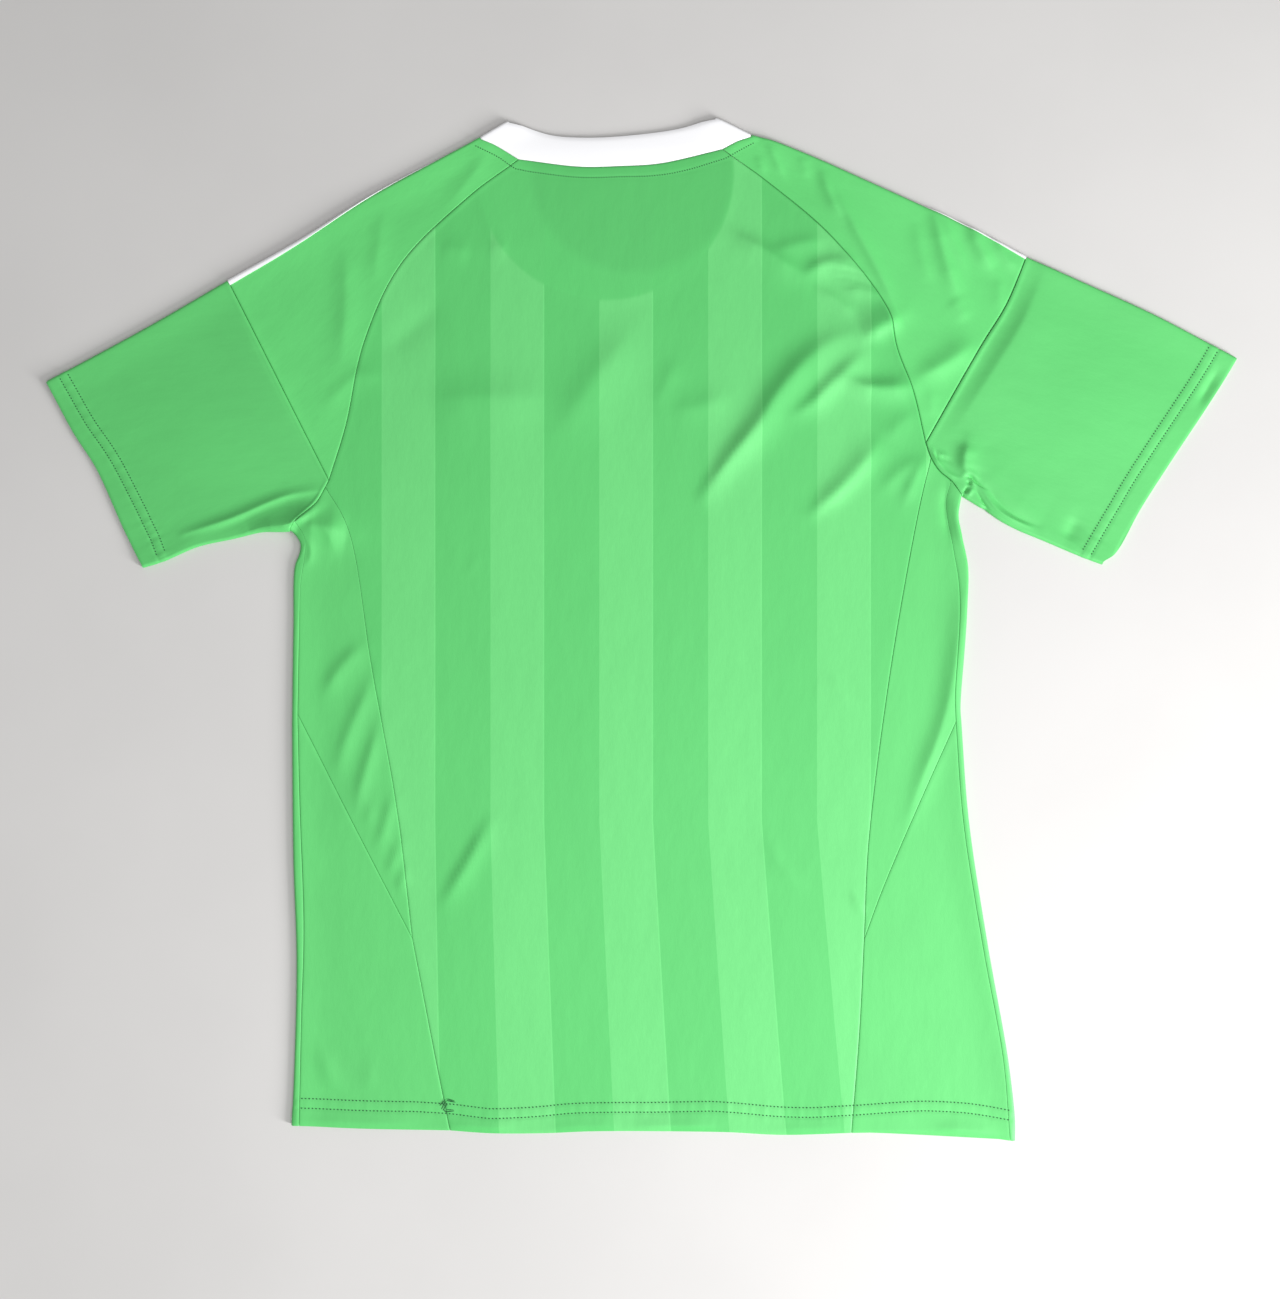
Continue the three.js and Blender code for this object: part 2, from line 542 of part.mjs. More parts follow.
// Neck band: a flat ring, its back part on the top layer and its front part on the lower one
function collar() {
  const [left, right] = [EDGES.left.collar, EDGES.right.collar];
  const backSeam = chain(
    [left.start.at(-1), ...LINES.left.neckEnd.toReversed().slice(1)],
    backNeck,
    [...LINES.right.neckEnd.slice(0, -1), right.start.at(-1)],
  );
  const frontSeam = chain(
    [left.start.at(-1), ...LINES.left.frontNeckEnd.slice(1)],
    frontNeck,
    [...LINES.right.frontNeckEnd.toReversed().slice(0, -1), right.start.at(-1)],
  );
  const band = (seam, freeEdge) => {
    const free = cutAt(freeEdge, shares(seam));
    free[0] = left.start[0];
    free[free.length - 1] = right.start[0];
    return drawIn(patch(left.start.toReversed(), right.start.toReversed(), seam, free), ["top"]);
  };
  const above = band(backSeam, COLLAR_TOP);
  const below = band(frontSeam, FRONT_COLLAR_TOP);
  const outOf = (edge, i) => edge.out[edge.out.length - 1 - i];
  return cloth(
    above.map((row, i) => {
      const low = [row[0], ...below[i].slice(1, -1), row.at(-1)];
      return section(
        topRow(row),
        turn(row.at(-1), outOf(right, i)),
        backwards(lowRow(low)),
        backwards(turn(row[0], outOf(left, i))),
      );
    }),
    { ring: true },
  );
}

// Neck facing: a half-moon between the layers, against the inside of the back
function neckFacing() {
  const arc = Array.from({ length: COLUMNS.facing + 1 }, (_, j) => {
    const angle = THREE.MathUtils.degToRad(THREE.MathUtils.lerp(FACING.from, FACING.to, j / COLUMNS.facing));
    const across = FACING.halfWidth * Math.cos(angle);
    return new THREE.Vector3(FACING.x + across, FACING.y + FACING.depth * Math.sin(angle), 0);
  });
  const neck = cut(BACK_NECK, COLUMNS.facing).map((p) => p.add(new THREE.Vector3(0, -FACING.inset, 0)));
  neck[0].x += FACING.inset;
  neck.at(-1).x -= FACING.inset;
  const edge = (j) => finer([neck[j], arc[j]], ROWS.facing);
  const grid = patch(edge(0), edge(COLUMNS.facing), neck, arc);
  return cloth(
    grid.map((row) => ({
      outer: row.map((p) => raise(p, TOP_LAYER + FACING.cloth)),
      inner: row.map((p) => raise(p, TOP_LAYER)),
    })),
  );
}

// Shoulder tape: one plain strip over the fold, made from the raglan's outer points moved out
function shoulderTape(side) {
  const { start, out } = EDGES[side].raglan;
  const shown = TAPE_SHOWN[side];
  const step = THREE.MathUtils.degToRad(TAPE.under) / TAPE.steps;
  const rows = [];
  for (let i = shown.from; i < start.length; i++) {
    const share = (i - shown.from) / (start.length - 1 - shown.from);
    const width = THREE.MathUtils.lerp(shown.neck, shown.sleeve, share);
    const radius = (lift(start[i]) + CLOTH) / 2;
    const strip = (off) => {
      const flat = start[i].clone().addScaledVector(out[i], -width);
      const round = Array.from({ length: TAPE.steps + 1 }, (_, k) => {
        const height = radius + (radius + off) * Math.cos(step * k);
        return raise(start[i], height).addScaledVector(out[i], (radius + off) * Math.sin(step * k));
      });
      return [raise(flat, lift(flat) + CLOTH + off), ...round];
    };
    rows.push({ outer: strip(TAPE.gap + TAPE.cloth), inner: strip(TAPE.gap) });
  }
  return cloth(rows);
}

add("back_body", back(), "back");
add("front_body", front(), "front");
add("collar", collar(), "white");
add("neck_facing", neckFacing(), "front");
for (const side of ["left", "right"]) {
  add(`side_upper_${side}`, sideUpper(side), "side");
  add(`side_lower_${side}`, sideLower(side), "side");
  add(`raglan_${side}`, raglan(side), "side");
  add(`sleeve_${side}`, sleeve(side), "sleeve");
  add(`shoulder_tape_${side}`, shoulderTape(side), "white");
}

export default jersey;
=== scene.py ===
"""A short-sleeved football jersey laid flat with its back upwards, sewn from thin knit panels."""

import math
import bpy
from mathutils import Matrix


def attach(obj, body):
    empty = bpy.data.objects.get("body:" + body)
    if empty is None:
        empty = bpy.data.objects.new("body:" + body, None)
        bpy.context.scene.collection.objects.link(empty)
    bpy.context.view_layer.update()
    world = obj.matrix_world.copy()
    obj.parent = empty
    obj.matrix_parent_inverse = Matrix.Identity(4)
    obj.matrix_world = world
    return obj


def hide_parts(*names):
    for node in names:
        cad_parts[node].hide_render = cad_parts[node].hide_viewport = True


bl_info = {
    "name": "Football jersey",
    "version": (1, 0, 0),
    "blender": (4, 5, 0),
    "location": "3D View > Sidebar > Jersey",
    "description": "Lays out a football jersey from knit panels, with its seams, folds and stitches",
    "category": "Add Mesh",
}

import bmesh
import bpy
import numpy as np
from mathutils import Matrix, Vector

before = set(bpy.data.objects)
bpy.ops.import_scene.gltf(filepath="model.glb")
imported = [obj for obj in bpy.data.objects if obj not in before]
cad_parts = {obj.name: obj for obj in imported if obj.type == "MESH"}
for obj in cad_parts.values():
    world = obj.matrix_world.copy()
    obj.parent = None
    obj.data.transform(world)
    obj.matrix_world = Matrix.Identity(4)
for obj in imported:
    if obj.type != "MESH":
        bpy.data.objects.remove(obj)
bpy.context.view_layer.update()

MM = 0.001  # plan sizes below are in millimetres, meshes are in metres

# Cloth and layers
WALL = 1.2  # the solids' wall, whose outer side the cloth keeps
TOP_LAYER = 1.5  # underside of the solids' top layer
EDGE_LIFT = 1.4
EDGE_REACH = 14
SEAM_HALF_GAP = 0.1
SEAM_DEPTH = 0.9  # how far an edge is pulled down into its deepest seams
LOW_SEAM_DEPTH = 0.35
TURN_STEPS = 10

# Hems
HEM_ZONE = 30  # finer rows within this distance of a hem or cuff
HEM_STEPS = 30
HEM_THICKER = 0.35
STITCH_DIP = 0.32
PUCKER = {"height": 0.09, "length": 9.0, "reach": 7.0}  # small waves along the rows of stitches

# Rows of stitches: share of the hem's length and distance of the first row from its edge there
HEMS = {
    "hem": {
        "first": (
            (0, 13.5), (0.17, 13.7), (0.225, 12.4), (0.275, 11), (0.33, 12.3), (0.38, 14), (0.5, 14.2),
            (0.58, 15.5), (0.64, 14.4), (0.725, 12.6), (0.78, 13.4), (0.87, 16), (0.93, 16.5), (1, 15),
        ),
        "apart": 7.2,
    },
    "cuff_left": {"first": ((0, 10.5), (0.45, 12.3), (0.6, 13.5), (0.75, 15), (0.9, 15), (1, 13.5)), "apart": 6.8},
    "cuff_right": {"first": ((0, 15.2), (0.6, 15), (0.75, 14.4), (0.87, 15), (1, 15.5)), "apart": 7.2},
}

# Neck facing and topstitching
FACING = {"x": -27, "y": 340, "half_width": 92, "depth": 92, "cloth": 0.6, "from": 195, "to": 345, "inset": 3}
FACING_FADE = 0.14
FACING_RISE = 0.3  # how far it lifts the back
FACING_PAINTED_SHADOW = (-5.5, 344, 80)  # painted shadow: a darker patch within the half-moon, where shade falls on the back: centre x, y, reach
FACING_NECK = (356, 370)
NECK_STITCH = ((0, 7.5), (0.1, 6.5), (0.2, 8.2), (0.5, 8.1), (0.7, 9), (0.78, 8.8), (0.9, 7.2), (1, 6.5))

# Cloth spacing between rows and columns, and how many of them each seam gets
ROWS = {"raglan": 96, "side_upper": 104, "side_lower": 34, "sleeve": 66, "facing": 30}
COLUMNS = {"back": 150, "front": 40, "sleeve_seam": 60, "neck_end": 12, "side": 40, "facing": 60, "collar": 12}
ARMHOLE_STEPS = (6, 9, 12, 16)
CROWDING = 0.3  # columns of the back lie closer towards the right, where the folds are
SLEEVE_CROWDING = 1.5  # rows of a sleeve lie closer towards the armpit

# Outline of each half, seen from above: x, y
HALVES = {
    "left": {
        "collar_corner": (-100, 379.5),
        "neck_end": ((-92, 350.5), (-106, 359), (-121, 367)),
        "front_neck_end": ((-121, 367), (-118, 343), (-113.5, 321)),
        "shoulder": ((-121, 367), (-153, 350), (-206, 321), (-254.6, 290.8), (-309.5, 260)),
        "sleeve_top": ((-309.5, 260), (-371, 224.4), (-445.3, 184.3)),
        "cuff": ((-445.3, 184.3), (-425.7, 147.1), (-407.9, 119.2), (-387, 73), (-373, 45)),
        "underarm": ((-262, 73.3), (-282.5, 71.6), (-307, 66.2), (-332, 60.6), (-357, 50), (-373, 45)),
        "sleeve_seam": ((-309.5, 260), (-270, 182), (-234, 110.5)),
        "raglan": ((-92, 350.5), (-129, 323), (-180.5, 271.5), (-207.5, 214.5), (-221.5, 151), (-234, 110.5)),
        "front_raglan": ((-113.5, 321), (-158, 270), (-192, 215), (-215, 165), (-234, 110.5)),
        "armhole": ((-234, 110.5), (-236.5, 105.5), (-243, 94), (-258, 79.5), (-262, 73.3)),
        "body_edge": ((-262, 73.3), (-255.2, 64), (-255.6, 56.5), (-259.4, 46), (-260.5, 0), (-261.5, -73)),
        "body_edge_lower": ((-261.5, -73), (-260.5, -174), (-258.1, -250), (-260.5, -345), (-262, -372)),
        "wrap": ((-258, 79.5), (-250.8, 66), (-251.5, 54), (-254.5, 34), (-256, -9), (-257, -64.5)),
        "wrap_lower": ((-257, -64.5), (-255.5, -129), (-252.5, -225), (-254.3, -290), (-256, -372.3)),
        "side": ((-236.5, 105.5), (-219.5, 75), (-202, -28), (-182.5, -138), (-171.5, -232)),
        "side_lower": ((-171.5, -232), (-153.5, -325.5), (-143.3, -375.9)),
        "diagonal": ((-257, -64.5), (-221, -136), (-171.5, -232)),
        "hem": ((-256, -372.3), (-213.5, -374.4), (-143.3, -375.9)),
    },
    "right": {
        "collar_corner": (56, 382),
        "neck_end": ((60.5, 358), (71, 363.5), (82.3, 368.8)),
        "front_neck_end": ((82.3, 368.8), (76, 338), (62.5, 310)),
        "shoulder": ((82.3, 368.8), (98, 364.8), (126.5, 353.5), (164, 336.8), (241, 301.5), (288, 277.6)),
        "sleeve_top": ((288, 277.6), (332.5, 257.7), (384, 234.2), (445.3, 201.9)),
        "cuff": ((445.3, 201.9), (433.5, 181.3), (396, 124.4), (373.6, 89.3), (355, 56.5), (344.5, 47.6)),
        "underarm": ((239.4, 98.7), (252.7, 90.4), (276, 75.8), (302.6, 64.4), (328, 53.6), (344.5, 47.6)),
        "sleeve_seam": ((288, 277.6), (273, 242), (253, 209.5), (212.5, 138.5)),
        "raglan": (
            (60.5, 358), (94, 334), (142, 292.5), (183.5, 239), (191.5, 208.5), (203.5, 176), (212.5, 138.5),
        ),
        "front_raglan": ((62.5, 310), (112, 270), (150, 232), (183, 190), (212.5, 138.5)),
        "armhole": ((212.5, 138.5), (216.5, 127), (222.5, 117.8), (231.5, 110), (239.4, 98.7)),
        "body_edge": (
            (239.4, 98.7), (237.3, 84), (239.6, 69), (244.4, 46), (243.4, 10), (238.4, -58.5), (239.2, -70),
        ),
        "body_edge_lower": (
            (239.2, -70), (245, -144), (259, -236), (274.6, -324), (279.5, -368), (279.5, -383.4),
        ),
        "wrap": ((231.5, 110), (228, 94), (233, 60), (237, 36), (237.7, 12.5), (234, -50), (234.7, -70)),
        "wrap_lower": ((234.7, -70), (240.4, -144), (254.8, -236), (270.6, -324), (275.4, -383.2)),
        "side": ((216.5, 127), (208, 91), (187, -25.5), (170, -159), (166.5, -232.5)),
        "side_lower": ((166.5, -232.5), (163, -301.5), (157, -377.8)),
        "diagonal": ((234.7, -70), (205, -137), (180, -196), (166.5, -232.5)),
        "hem": ((275.4, -383.2), (247.5, -379.8), (212, -377.3), (157, -377.8)),
    },
}

# How deep the cloth is drawn into each seam, at even steps from its end at the neck or the armhole
SEAMS = {
    "left": {
        "raglan": (0.55, 0.5, 0.4, 0.45), "sleeve_seam": (0.7, 0.6), "armhole": (0.55, 0.45),
        "side": (0.05, 0.1, 0.35, 0.4, 0.4), "side_lower": (0.4,), "diagonal": (0.4,),
        "wrap": (0, 0, 0.3, 0.4), "wrap_lower": (0.4, 0.4, 0.25),
    },
    "right": {
        "raglan": (0.6, 0.75, 0.7, 0.7), "sleeve_seam": (0.85, 0.8), "armhole": (0.8, 0.8, 0.7),
        "side": (0.3, 0.35, 0.35, 0.4), "side_lower": (0.4,), "diagonal": (0.4,),
        "wrap": (0.1, 0.3, 0.4, 0.35), "wrap_lower": (0.3, 0.2, 0.1),
    },
}
NECK_SEAM = 0.5

# The seam allowance's ridge beside a seam: distance to the right of the seam's direction, half width, height
RIDGES = (
    ("left", "raglan", -1.5, 1.2, 0.3),
    ("left", "armhole", 1.3, 1.0, 0.55),
    ("left", "sleeve_seam", 1.8, 1.4, 0.45),
    ("left", "wrap", 1.2, 0.9, 0.25),
    ("right", "raglan", 1.6, 1.3, 0.35),
    ("right", "sleeve_seam", -2.0, 1.7, 0.55),
    ("right", "armhole", -1.8, 1.3, 0.4),
)

# Neckline and hem between the two halves: x, y
BACK_NECK = ((-92, 350.5), (-46, 345), (-16, 345.5), (14, 347.5), (60.5, 358))
COLLAR_TOP = ((-100, 379.5), (-68.5, 369), (-46, 367), (-16, 368), (27.5, 373.5), (56, 382))
FRONT_NECK = ((-113.5, 321), (-86.5, 270), (-31, 248), (25, 267), (62.5, 310))
FRONT_COLLAR_TOP = (
    (-100, 379.5), (-91, 328.5), (-70, 286.5), (-27.5, 266), (15.5, 283.5), (42.5, 325), (56, 382),
)
BACK_HEM = (
    (-143.3, -375.9), (-112, -378), (-72, -378), (-38, -376.6), (60, -377.1), (104, -379.2), (157, -377.8),
)

# Broad soft rises of the top layer: centre x, y, reach along X and Y, height
SWELLS = (
    (120, 165, 95, 110, 1.9),
    (-110, 110, 90, 70, 1.1),
    (-20, -60, 120, 110, 0.8),
    (190, -60, 60, 120, 1.3),
    (-200, -120, 50, 120, 1.0),
    (-120, -220, 60, 80, 1.2),
    (120, -260, 90, 80, 0.9),
    (-330, 150, 60, 60, 1.8),
    (330, 165, 65, 60, 1.9),
    (150, 300, 60, 35, 1.2),
    (-200, 285, 70, 35, 0.9),
)

# Folds of the top layer, from one end to the other: points x, y along the crest, half widths to the right
# and to the left of that direction, height, and if it narrows the share of its width that is left at its
# last end. Troughs have a height below 0.
FOLDS = (
    # right chest, from its longest fold down to the armpit
    (((158, 219), (141, 213), (127, 203), (112, 188), (100, 173), (87, 153), (66, 127), (46, 99)), 10, 18, 4.7, 0.42),
    (((166, 205), (153, 193), (140, 181), (127, 168), (115, 160)), 6, 10, 3.3, 0.7),
    (((203, 181), (180, 179), (165, 180.5), (154, 185)), 8, 10, 4.1, 0.6),
    (((178, 142), (171, 131), (160, 117), (148, 104), (138, 95), (127, 85)), 11, 9, 3.2, 0.5),
    (((213, 129), (204, 112), (196, 93)), 5, 6, 1.7),
    (((207, 127), (191, 115), (180, 103)), 6, 7, 1.4),
    (((204, 160), (192, 152), (184, 141)), 6, 8, 1.0),
    # between the half-moon and the right raglan seam
    (((122, 264), (108, 271), (93, 281), (70, 294)), 7, 11, 2.8, 0.8),
    (((163, 268), (151, 273), (140, 273), (130, 269), (121, 263)), 6, 8, 2.5, 0.8),
    (((137, 290), (118, 287), (98, 281)), 6, 8, 1.3),
    (((194, 233), (181, 226), (166, 217)), 15, 7, 4.6, 0.8),
    (((160, 233), (146, 244), (133, 253)), 6, 6, 1.4, 0.6),
    (((180, 247), (166, 251), (152, 252)), 3.5, 5, 1.2),
    (((172, 262), (158, 268), (141, 271)), 2.0, 2.0, 0.9, 0.6),
    (((174, 258), (159, 263), (143, 265)), 1.8, 1.8, 0.85, 0.6),
    (((176, 254), (160, 258), (146, 259)), 1.8, 1.8, 0.8, 0.6),
    (((178, 250), (164, 254), (150, 254)), 1.8, 2.0, 0.7, 0.6),
    # right shoulder
    (((134, 342), (141, 322), (149, 306)), 4.5, 6, 2.1),
    (((146, 327), (158, 301), (170, 279), (182, 256), (190, 238)), 4.5, 7, 2.4),
    (((95, 362), (100, 350), (106, 338)), 3.5, 4, 1.2),
    (((87, 353), (91, 340)), 3, 4, 0.8),
    (((119, 352), (124, 336)), 4, 5, 0.7),
    (((218, 310), (223, 290), (229, 268), (236, 248)), 5.5, 7, 3.2, 1.2),
    (((226, 305), (233, 288), (243, 268)), 4, 5, 1.3),
    (((245, 300), (252, 284), (262, 268)), 5, 6.5, 2.7),
    (((264, 288), (271, 277), (280, 268)), 3, 4, 1.3),
    (((205, 303), (209, 280), (216, 258)), 6, 9, 1.2),
    (((249, 213), (229, 199), (207, 187)), 11, 10, 3.0, 0.7),
    (((243, 230), (232, 246)), 6, 6, 1.2),
    (((268, 238), (267, 262)), 5, 5, 0.8),
    (((216, 178), (217, 158)), 6, 6, 0.7),
    # right sleeve, along its seam
    (((300, 262), (284, 226), (268, 200), (252, 175), (238, 153)), 6, 26, 2.2, 1.3),
    (((243.4, 138), (240.8, 126), (241.6, 114.5)), 4, 9, 3.4, 1.1),
    (((250, 128), (261, 113), (272, 101), (285, 91), (301, 83)), 14, 20, 1.6),
    # right armpit: the underarm's creases, the knot where its seams meet and the curls beside the armhole
    (((250, 103.5), (252.2, 98.6), (257.9, 89.8), (264.7, 84), (271.5, 79.6), (283, 74)), 1.0, 1.0, -1.5, 0.8),
    (((254.3, 104), (260, 94.6), (267.8, 86.6), (278, 80.7), (290, 75.5)), 2.0, 2.2, 1.3, 0.8),
    (((258.4, 105.5), (261, 102), (265.9, 94.5), (274, 87.4), (283, 81.7), (296, 76.5)), 2.4, 3.0, -1.3),
    (((241.2, 111.2), (243.8, 113), (246.6, 112.2), (248.5, 110), (251.3, 107.6), (257, 104.2)), 0.9, 0.9, -1.7, 0.6),
    (((239.6, 113.4), (243.4, 116), (248, 114.8), (251.5, 111.4)), 1.5, 1.6, 1.4),
    (((244, 109.8), (245.4, 107)), 1.3, 1.3, -1.9),
    (((246.4, 110), (248.6, 106.6)), 1.1, 1.1, 0.9),
    (((244.2, 105.6), (240.6, 100.4)), 0.9, 0.9, -1.6),
    (((247.6, 104.6), (244, 98.8)), 1.3, 1.3, 1.0),
    (((220.6, 126.6), (225.6, 119.4), (232.4, 113.8), (239.2, 111.6)), 1.8, 1.8, 0.8),
    (((218, 134), (218.4, 129.4), (220.6, 124.9), (224, 121.6)), 1.1, 1.2, 1.1),
    (((219.9, 131.4), (220.4, 128.8), (222, 126.4)), 0.8, 0.8, -0.9),
    (((221, 130.2), (225.7, 129.4), (230, 127.4)), 1.3, 1.3, 1.0),
    (((222.6, 127.6), (227.4, 126), (231.6, 123.4)), 0.9, 0.9, -0.9),
    # right cuff
    (((431, 192), (423, 178), (417, 168)), 3.5, 5, -1.7),
    (((326, 82), (318, 66)), 5, 8, -1.5),
    # right side panel and edge
    (((227.5, 106), (227, 88), (230.5, 66)), 4, 4, -1.6),
    (((236, 92), (236.2, 74), (240, 58)), 2.4, 2.4, 0.8),
    (((240, 22), (235, -20), (229, -55), (219, -88), (209, -113), (199, -142)), 7.5, 9, 2.2, 0.8),
    (((168, -212), (157, -200)), 2.2, 3.4, 0.9),
    (((157, -57), (140, -36)), 3, 4, 0.35),
    # left sleeve and armpit
    (((-240.8, 103), (-249.8, 101.6), (-263.4, 99), (-280.4, 92.7), (-295, 86.3), (-309, 80.6), (-343, 70)), 4.2, 3,
        2.2, 0.8),
    (((-241, 92), (-250.5, 84), (-262, 77.5), (-276, 74.5), (-292, 70)), 9, 3, 4.4),
    (((-308, 250), (-292, 214), (-266, 163), (-246, 124)), 30, 5, 1.6),
    (((-220, 72), (-233, 74.5), (-246, 76.5), (-257, 76.5)), 13, 13, 5.2, 0.8),
    (((-253.5, 69), (-247.6, 62), (-247.4, 53), (-251.6, 46)), 3, 3, 0.8),
    (((-240, 78), (-233, 69), (-229, 57)), 4, 6, 0.7),
    # left shoulder
    (((-221, 284), (-221, 240), (-225, 200)), 8, 11, 1.6),
    (((-193, 310), (-197, 284), (-200, 258)), 6, 8, 0.8),
    (((-116, 353), (-127, 338), (-143, 318)), 7, 8, 1.0),
    (((-205, 197), (-222, 181), (-240, 164)), 6, 8, 0.8),
    # left side panel
    (((-208, -13), (-219, -23), (-229, -35), (-237, -50)), 5, 8, 1.7),
    (((-201, -36), (-206, -50), (-214, -67), (-222, -87), (-228, -107)), 5.5, 7, 1.6),
    (((-197, -74), (-202, -92), (-208, -112), (-213, -132)), 4.5, 6, 1.65),
    (((-186, -126), (-191, -145), (-197, -164)), 4, 5.5, 1.2),
    (((-180, -161), (-185, -173), (-190, -183)), 3.5, 4.5, 1.0),
    (((-176, -181), (-182, -196)), 3.5, 4.5, 0.9),
    (((-201, -131), (-206, -147)), 3.5, 4.5, 0.6),
    # upper back
    (((-72, 171), (-114, 172), (-158, 170)), 14, 26, 2.2),
    (((-6, 222), (-20, 205), (-36, 185), (-50, 163), (-62, 146)), 13, 20, 2.2),
    (((27, 201), (18, 182), (11, 165)), 7, 10, 1.0),
    (((64, 174), (45, 166), (22, 162)), 9, 12, 1.3),
    (((-192, 206), (-172, 223), (-152, 242)), 11, 11, -1.2),
    (((-128, 281), (-150, 285)), 7, 9, 0.9),
    (((-100, 283), (-114, 286)), 6, 8, 0.7),
    (((-196, 188), (-212, 190)), 6, 7, 0.8),
    # lower back
    (((-113, -144), (-129, -173), (-148, -205)), 3.8, 8, 2.1, 0.9),
    (((120, -192), (106, -180), (93, -158)), 6, 7, 0.8),
    (((-130, 38), (-121, 56)), 2.2, 2.6, 0.35),
    (((-243, -318), (-229, -341)), 4.5, 7, 1.3),
    (((-203, -326), (-206, -344)), 5, 6, 0.5),
    # the hem's rolled edge, below its stitches
    (((-172, -370.8), (-205, -370), (-230, -369), (-252, -367.6)), 7, 3.5, 1.5),
    (((-96, -373.6), (-120, -372.8), (-144, -371.4)), 6, 3.5, 1.3),
    (((56, -372), (25, -371.8), (-6, -372)), 7.5, 3.5, 1.6),
    (((-16, -372), (-45, -372.2), (-68, -373.4)), 6, 3.5, 0.8),
    (((150, -373.4), (128, -374), (100, -374.6)), 5, 3.5, 0.7),
    (((266, -377.4), (246, -375.4), (222, -373)), 7.5, 3.5, 1.6),
)
FOLD_ENDS = 0.25  # share of its height that a fold keeps at its ends
FOLD_PEAK = 1.55  # 2 gives a round crest, 1 a sharp one

# Tonal stripes of the back
STRIPE = {"start": -194.6, "pitch": 40.7, "drift_from": -144, "drift_over": 217.5, "drift": 3.45, "spread": 0.0515}

# Shoulder tapes: where each one starts as a share of the shoulder, how far its shown edge lies in from the
# fold, or round it if below 0, at even steps from there to the sleeve seam
TAPES = {
    "left": {"from": 0.1, "shown": (-4.4, -2.6, -1.4, -0.2, 1.4, 2.4)},
    "right": {"from": 0.5, "shown": (-5.4, -4.2, -2.6, -1.2, 0.4)},
}
TAPE = {"cloth": 0.45, "gap": 0.08, "under": 6.2, "steps": 16, "widest": 10 * MM}

# Stitches: length, width, height above the cloth, pitch
STITCHES = {
    "hem": {"pitch": 2.7, "length": 1.45, "width": 1.0},
    "cuff": {"pitch": 2.3, "length": 1.3, "width": 0.95},
    "neck": {"pitch": 1.9, "length": 1.0, "width": 0.95},
    "tack": {"width": 0.7},
}
STITCH_HEIGHT = 0.6
SHOULDER_PAINTED_SHEEN = 1.1  # painted sheen: the shoulder panels' green is made a little brighter, standing in for the light their cloth catches
BAR_TACK = (
    (-149.9, -360.4, -145.6, -353.2), (-151, -357.6, -146.4, -352.4), (-148.6, -361.2, -144.8, -355.6),
    (-146, -353.4, -138.6, -354.9), (-145.6, -352.3, -139.4, -353.9), (-147, -361.9, -139.5, -361.2),
    (-146.2, -360.2, -140, -360.5), (-148, -359.5, -146, -362.7),
)


# Plan curves

def spline(points):
    """A dense smooth line through a few points, with each point's share of the length."""
    p = np.array(points, float)
    p = np.vstack([2 * p[0] - p[1], p, 2 * p[-1] - p[-2]])
    t = np.linspace(0, 1, 48, endpoint=False)[:, None]
    pieces = []
    for a, b, c, d in zip(p, p[1:], p[2:], p[3:]):
        ab, bc, cd = (math.sqrt(math.dist(*ends)) for ends in ((a, b), (b, c), (c, d)))
        start = ((b - a) / ab - (c - a) / (ab + bc) + (c - b) / bc) * bc
        end = ((c - b) / bc - (d - b) / (bc + cd) + (d - c) / cd) * bc
        pieces.append(
            b + start * t + (3 * (c - b) - 2 * start - end) * t**2 + (2 * (b - c) + start + end) * t**3
        )
    return np.vstack([*pieces, p[-2:-1]])


def shares(line):
    """Share of its length at which each point of a line lies."""
    steps = np.hypot(*np.diff(line[:, :2], axis=0).T)
    along = np.concatenate([[0], np.cumsum(steps)])
    return along / along[-1]


def length_of(line):
    return float(np.hypot(*np.diff(line[:, :2], axis=0).T).sum())


def cut_at(points, places):
    dense = spline(points)
    along = shares(dense)
    return np.column_stack([np.interp(places, along, dense[:, k]) for k in (0, 1)])


def cut(points, steps):
    return cut_at(points, np.linspace(0, 1, steps + 1))


def cut_to_hem(points, steps, zone=HEM_ZONE, crowding=1.0):
    """Cuts a line that ends at a hem, with finer steps near it."""
    start = 1 - zone / length_of(spline(points))
    return cut_at(points, np.concatenate([
        start * np.linspace(0, 1, steps + 1) ** crowding,
        np.linspace(start, 1, HEM_STEPS + 1)[1:],
    ]))


def cut_through(points, steps):
    """Cuts a line with its own number of steps between each two of its points."""
    dense = spline(points)
    along = shares(dense)
    corners = [along[np.linalg.norm(dense - np.array(p, float), axis=1).argmin()] for p in points]
    places = [np.linspace(a, b, n + 1)[1:] for a, b, n in zip(corners, corners[1:], steps)]
    return cut_at(points, np.concatenate([[0.0], *places]))


def chain(*lines):
    return np.concatenate([lines[0], *(line[1:] for line in lines[1:])])


def ended(line, first=None, last=None, reach=12):
    """A line whose ends are moved in along it, to where the turn of a folded edge starts."""
    moved = line.copy()
    along = shares(line) * length_of(line)
    if first is not None:
        moved += (first - line[0]) * np.clip(1 - along / reach, 0, 1)[:, None]
    if last is not None:
        moved += (last - line[-1]) * np.clip(1 - (along[-1] - along) / reach, 0, 1)[:, None]
    return moved


def resampled(line, steps):
    places = np.linspace(0, 1, steps + 1)
    return np.column_stack([np.interp(places, shares(line), line[:, k]) for k in (0, 1)])


def outwards(line, middle):
    """Unit vectors square to a line in plan, away from the middle of the garment."""
    along = np.gradient(line, axis=0)
    square = np.column_stack([along[:, 1], -along[:, 0]])
    square /= np.linalg.norm(square, axis=1)[:, None]
    facing = np.sign(((line - middle) * square).sum(axis=1))
    return square * facing[:, None]


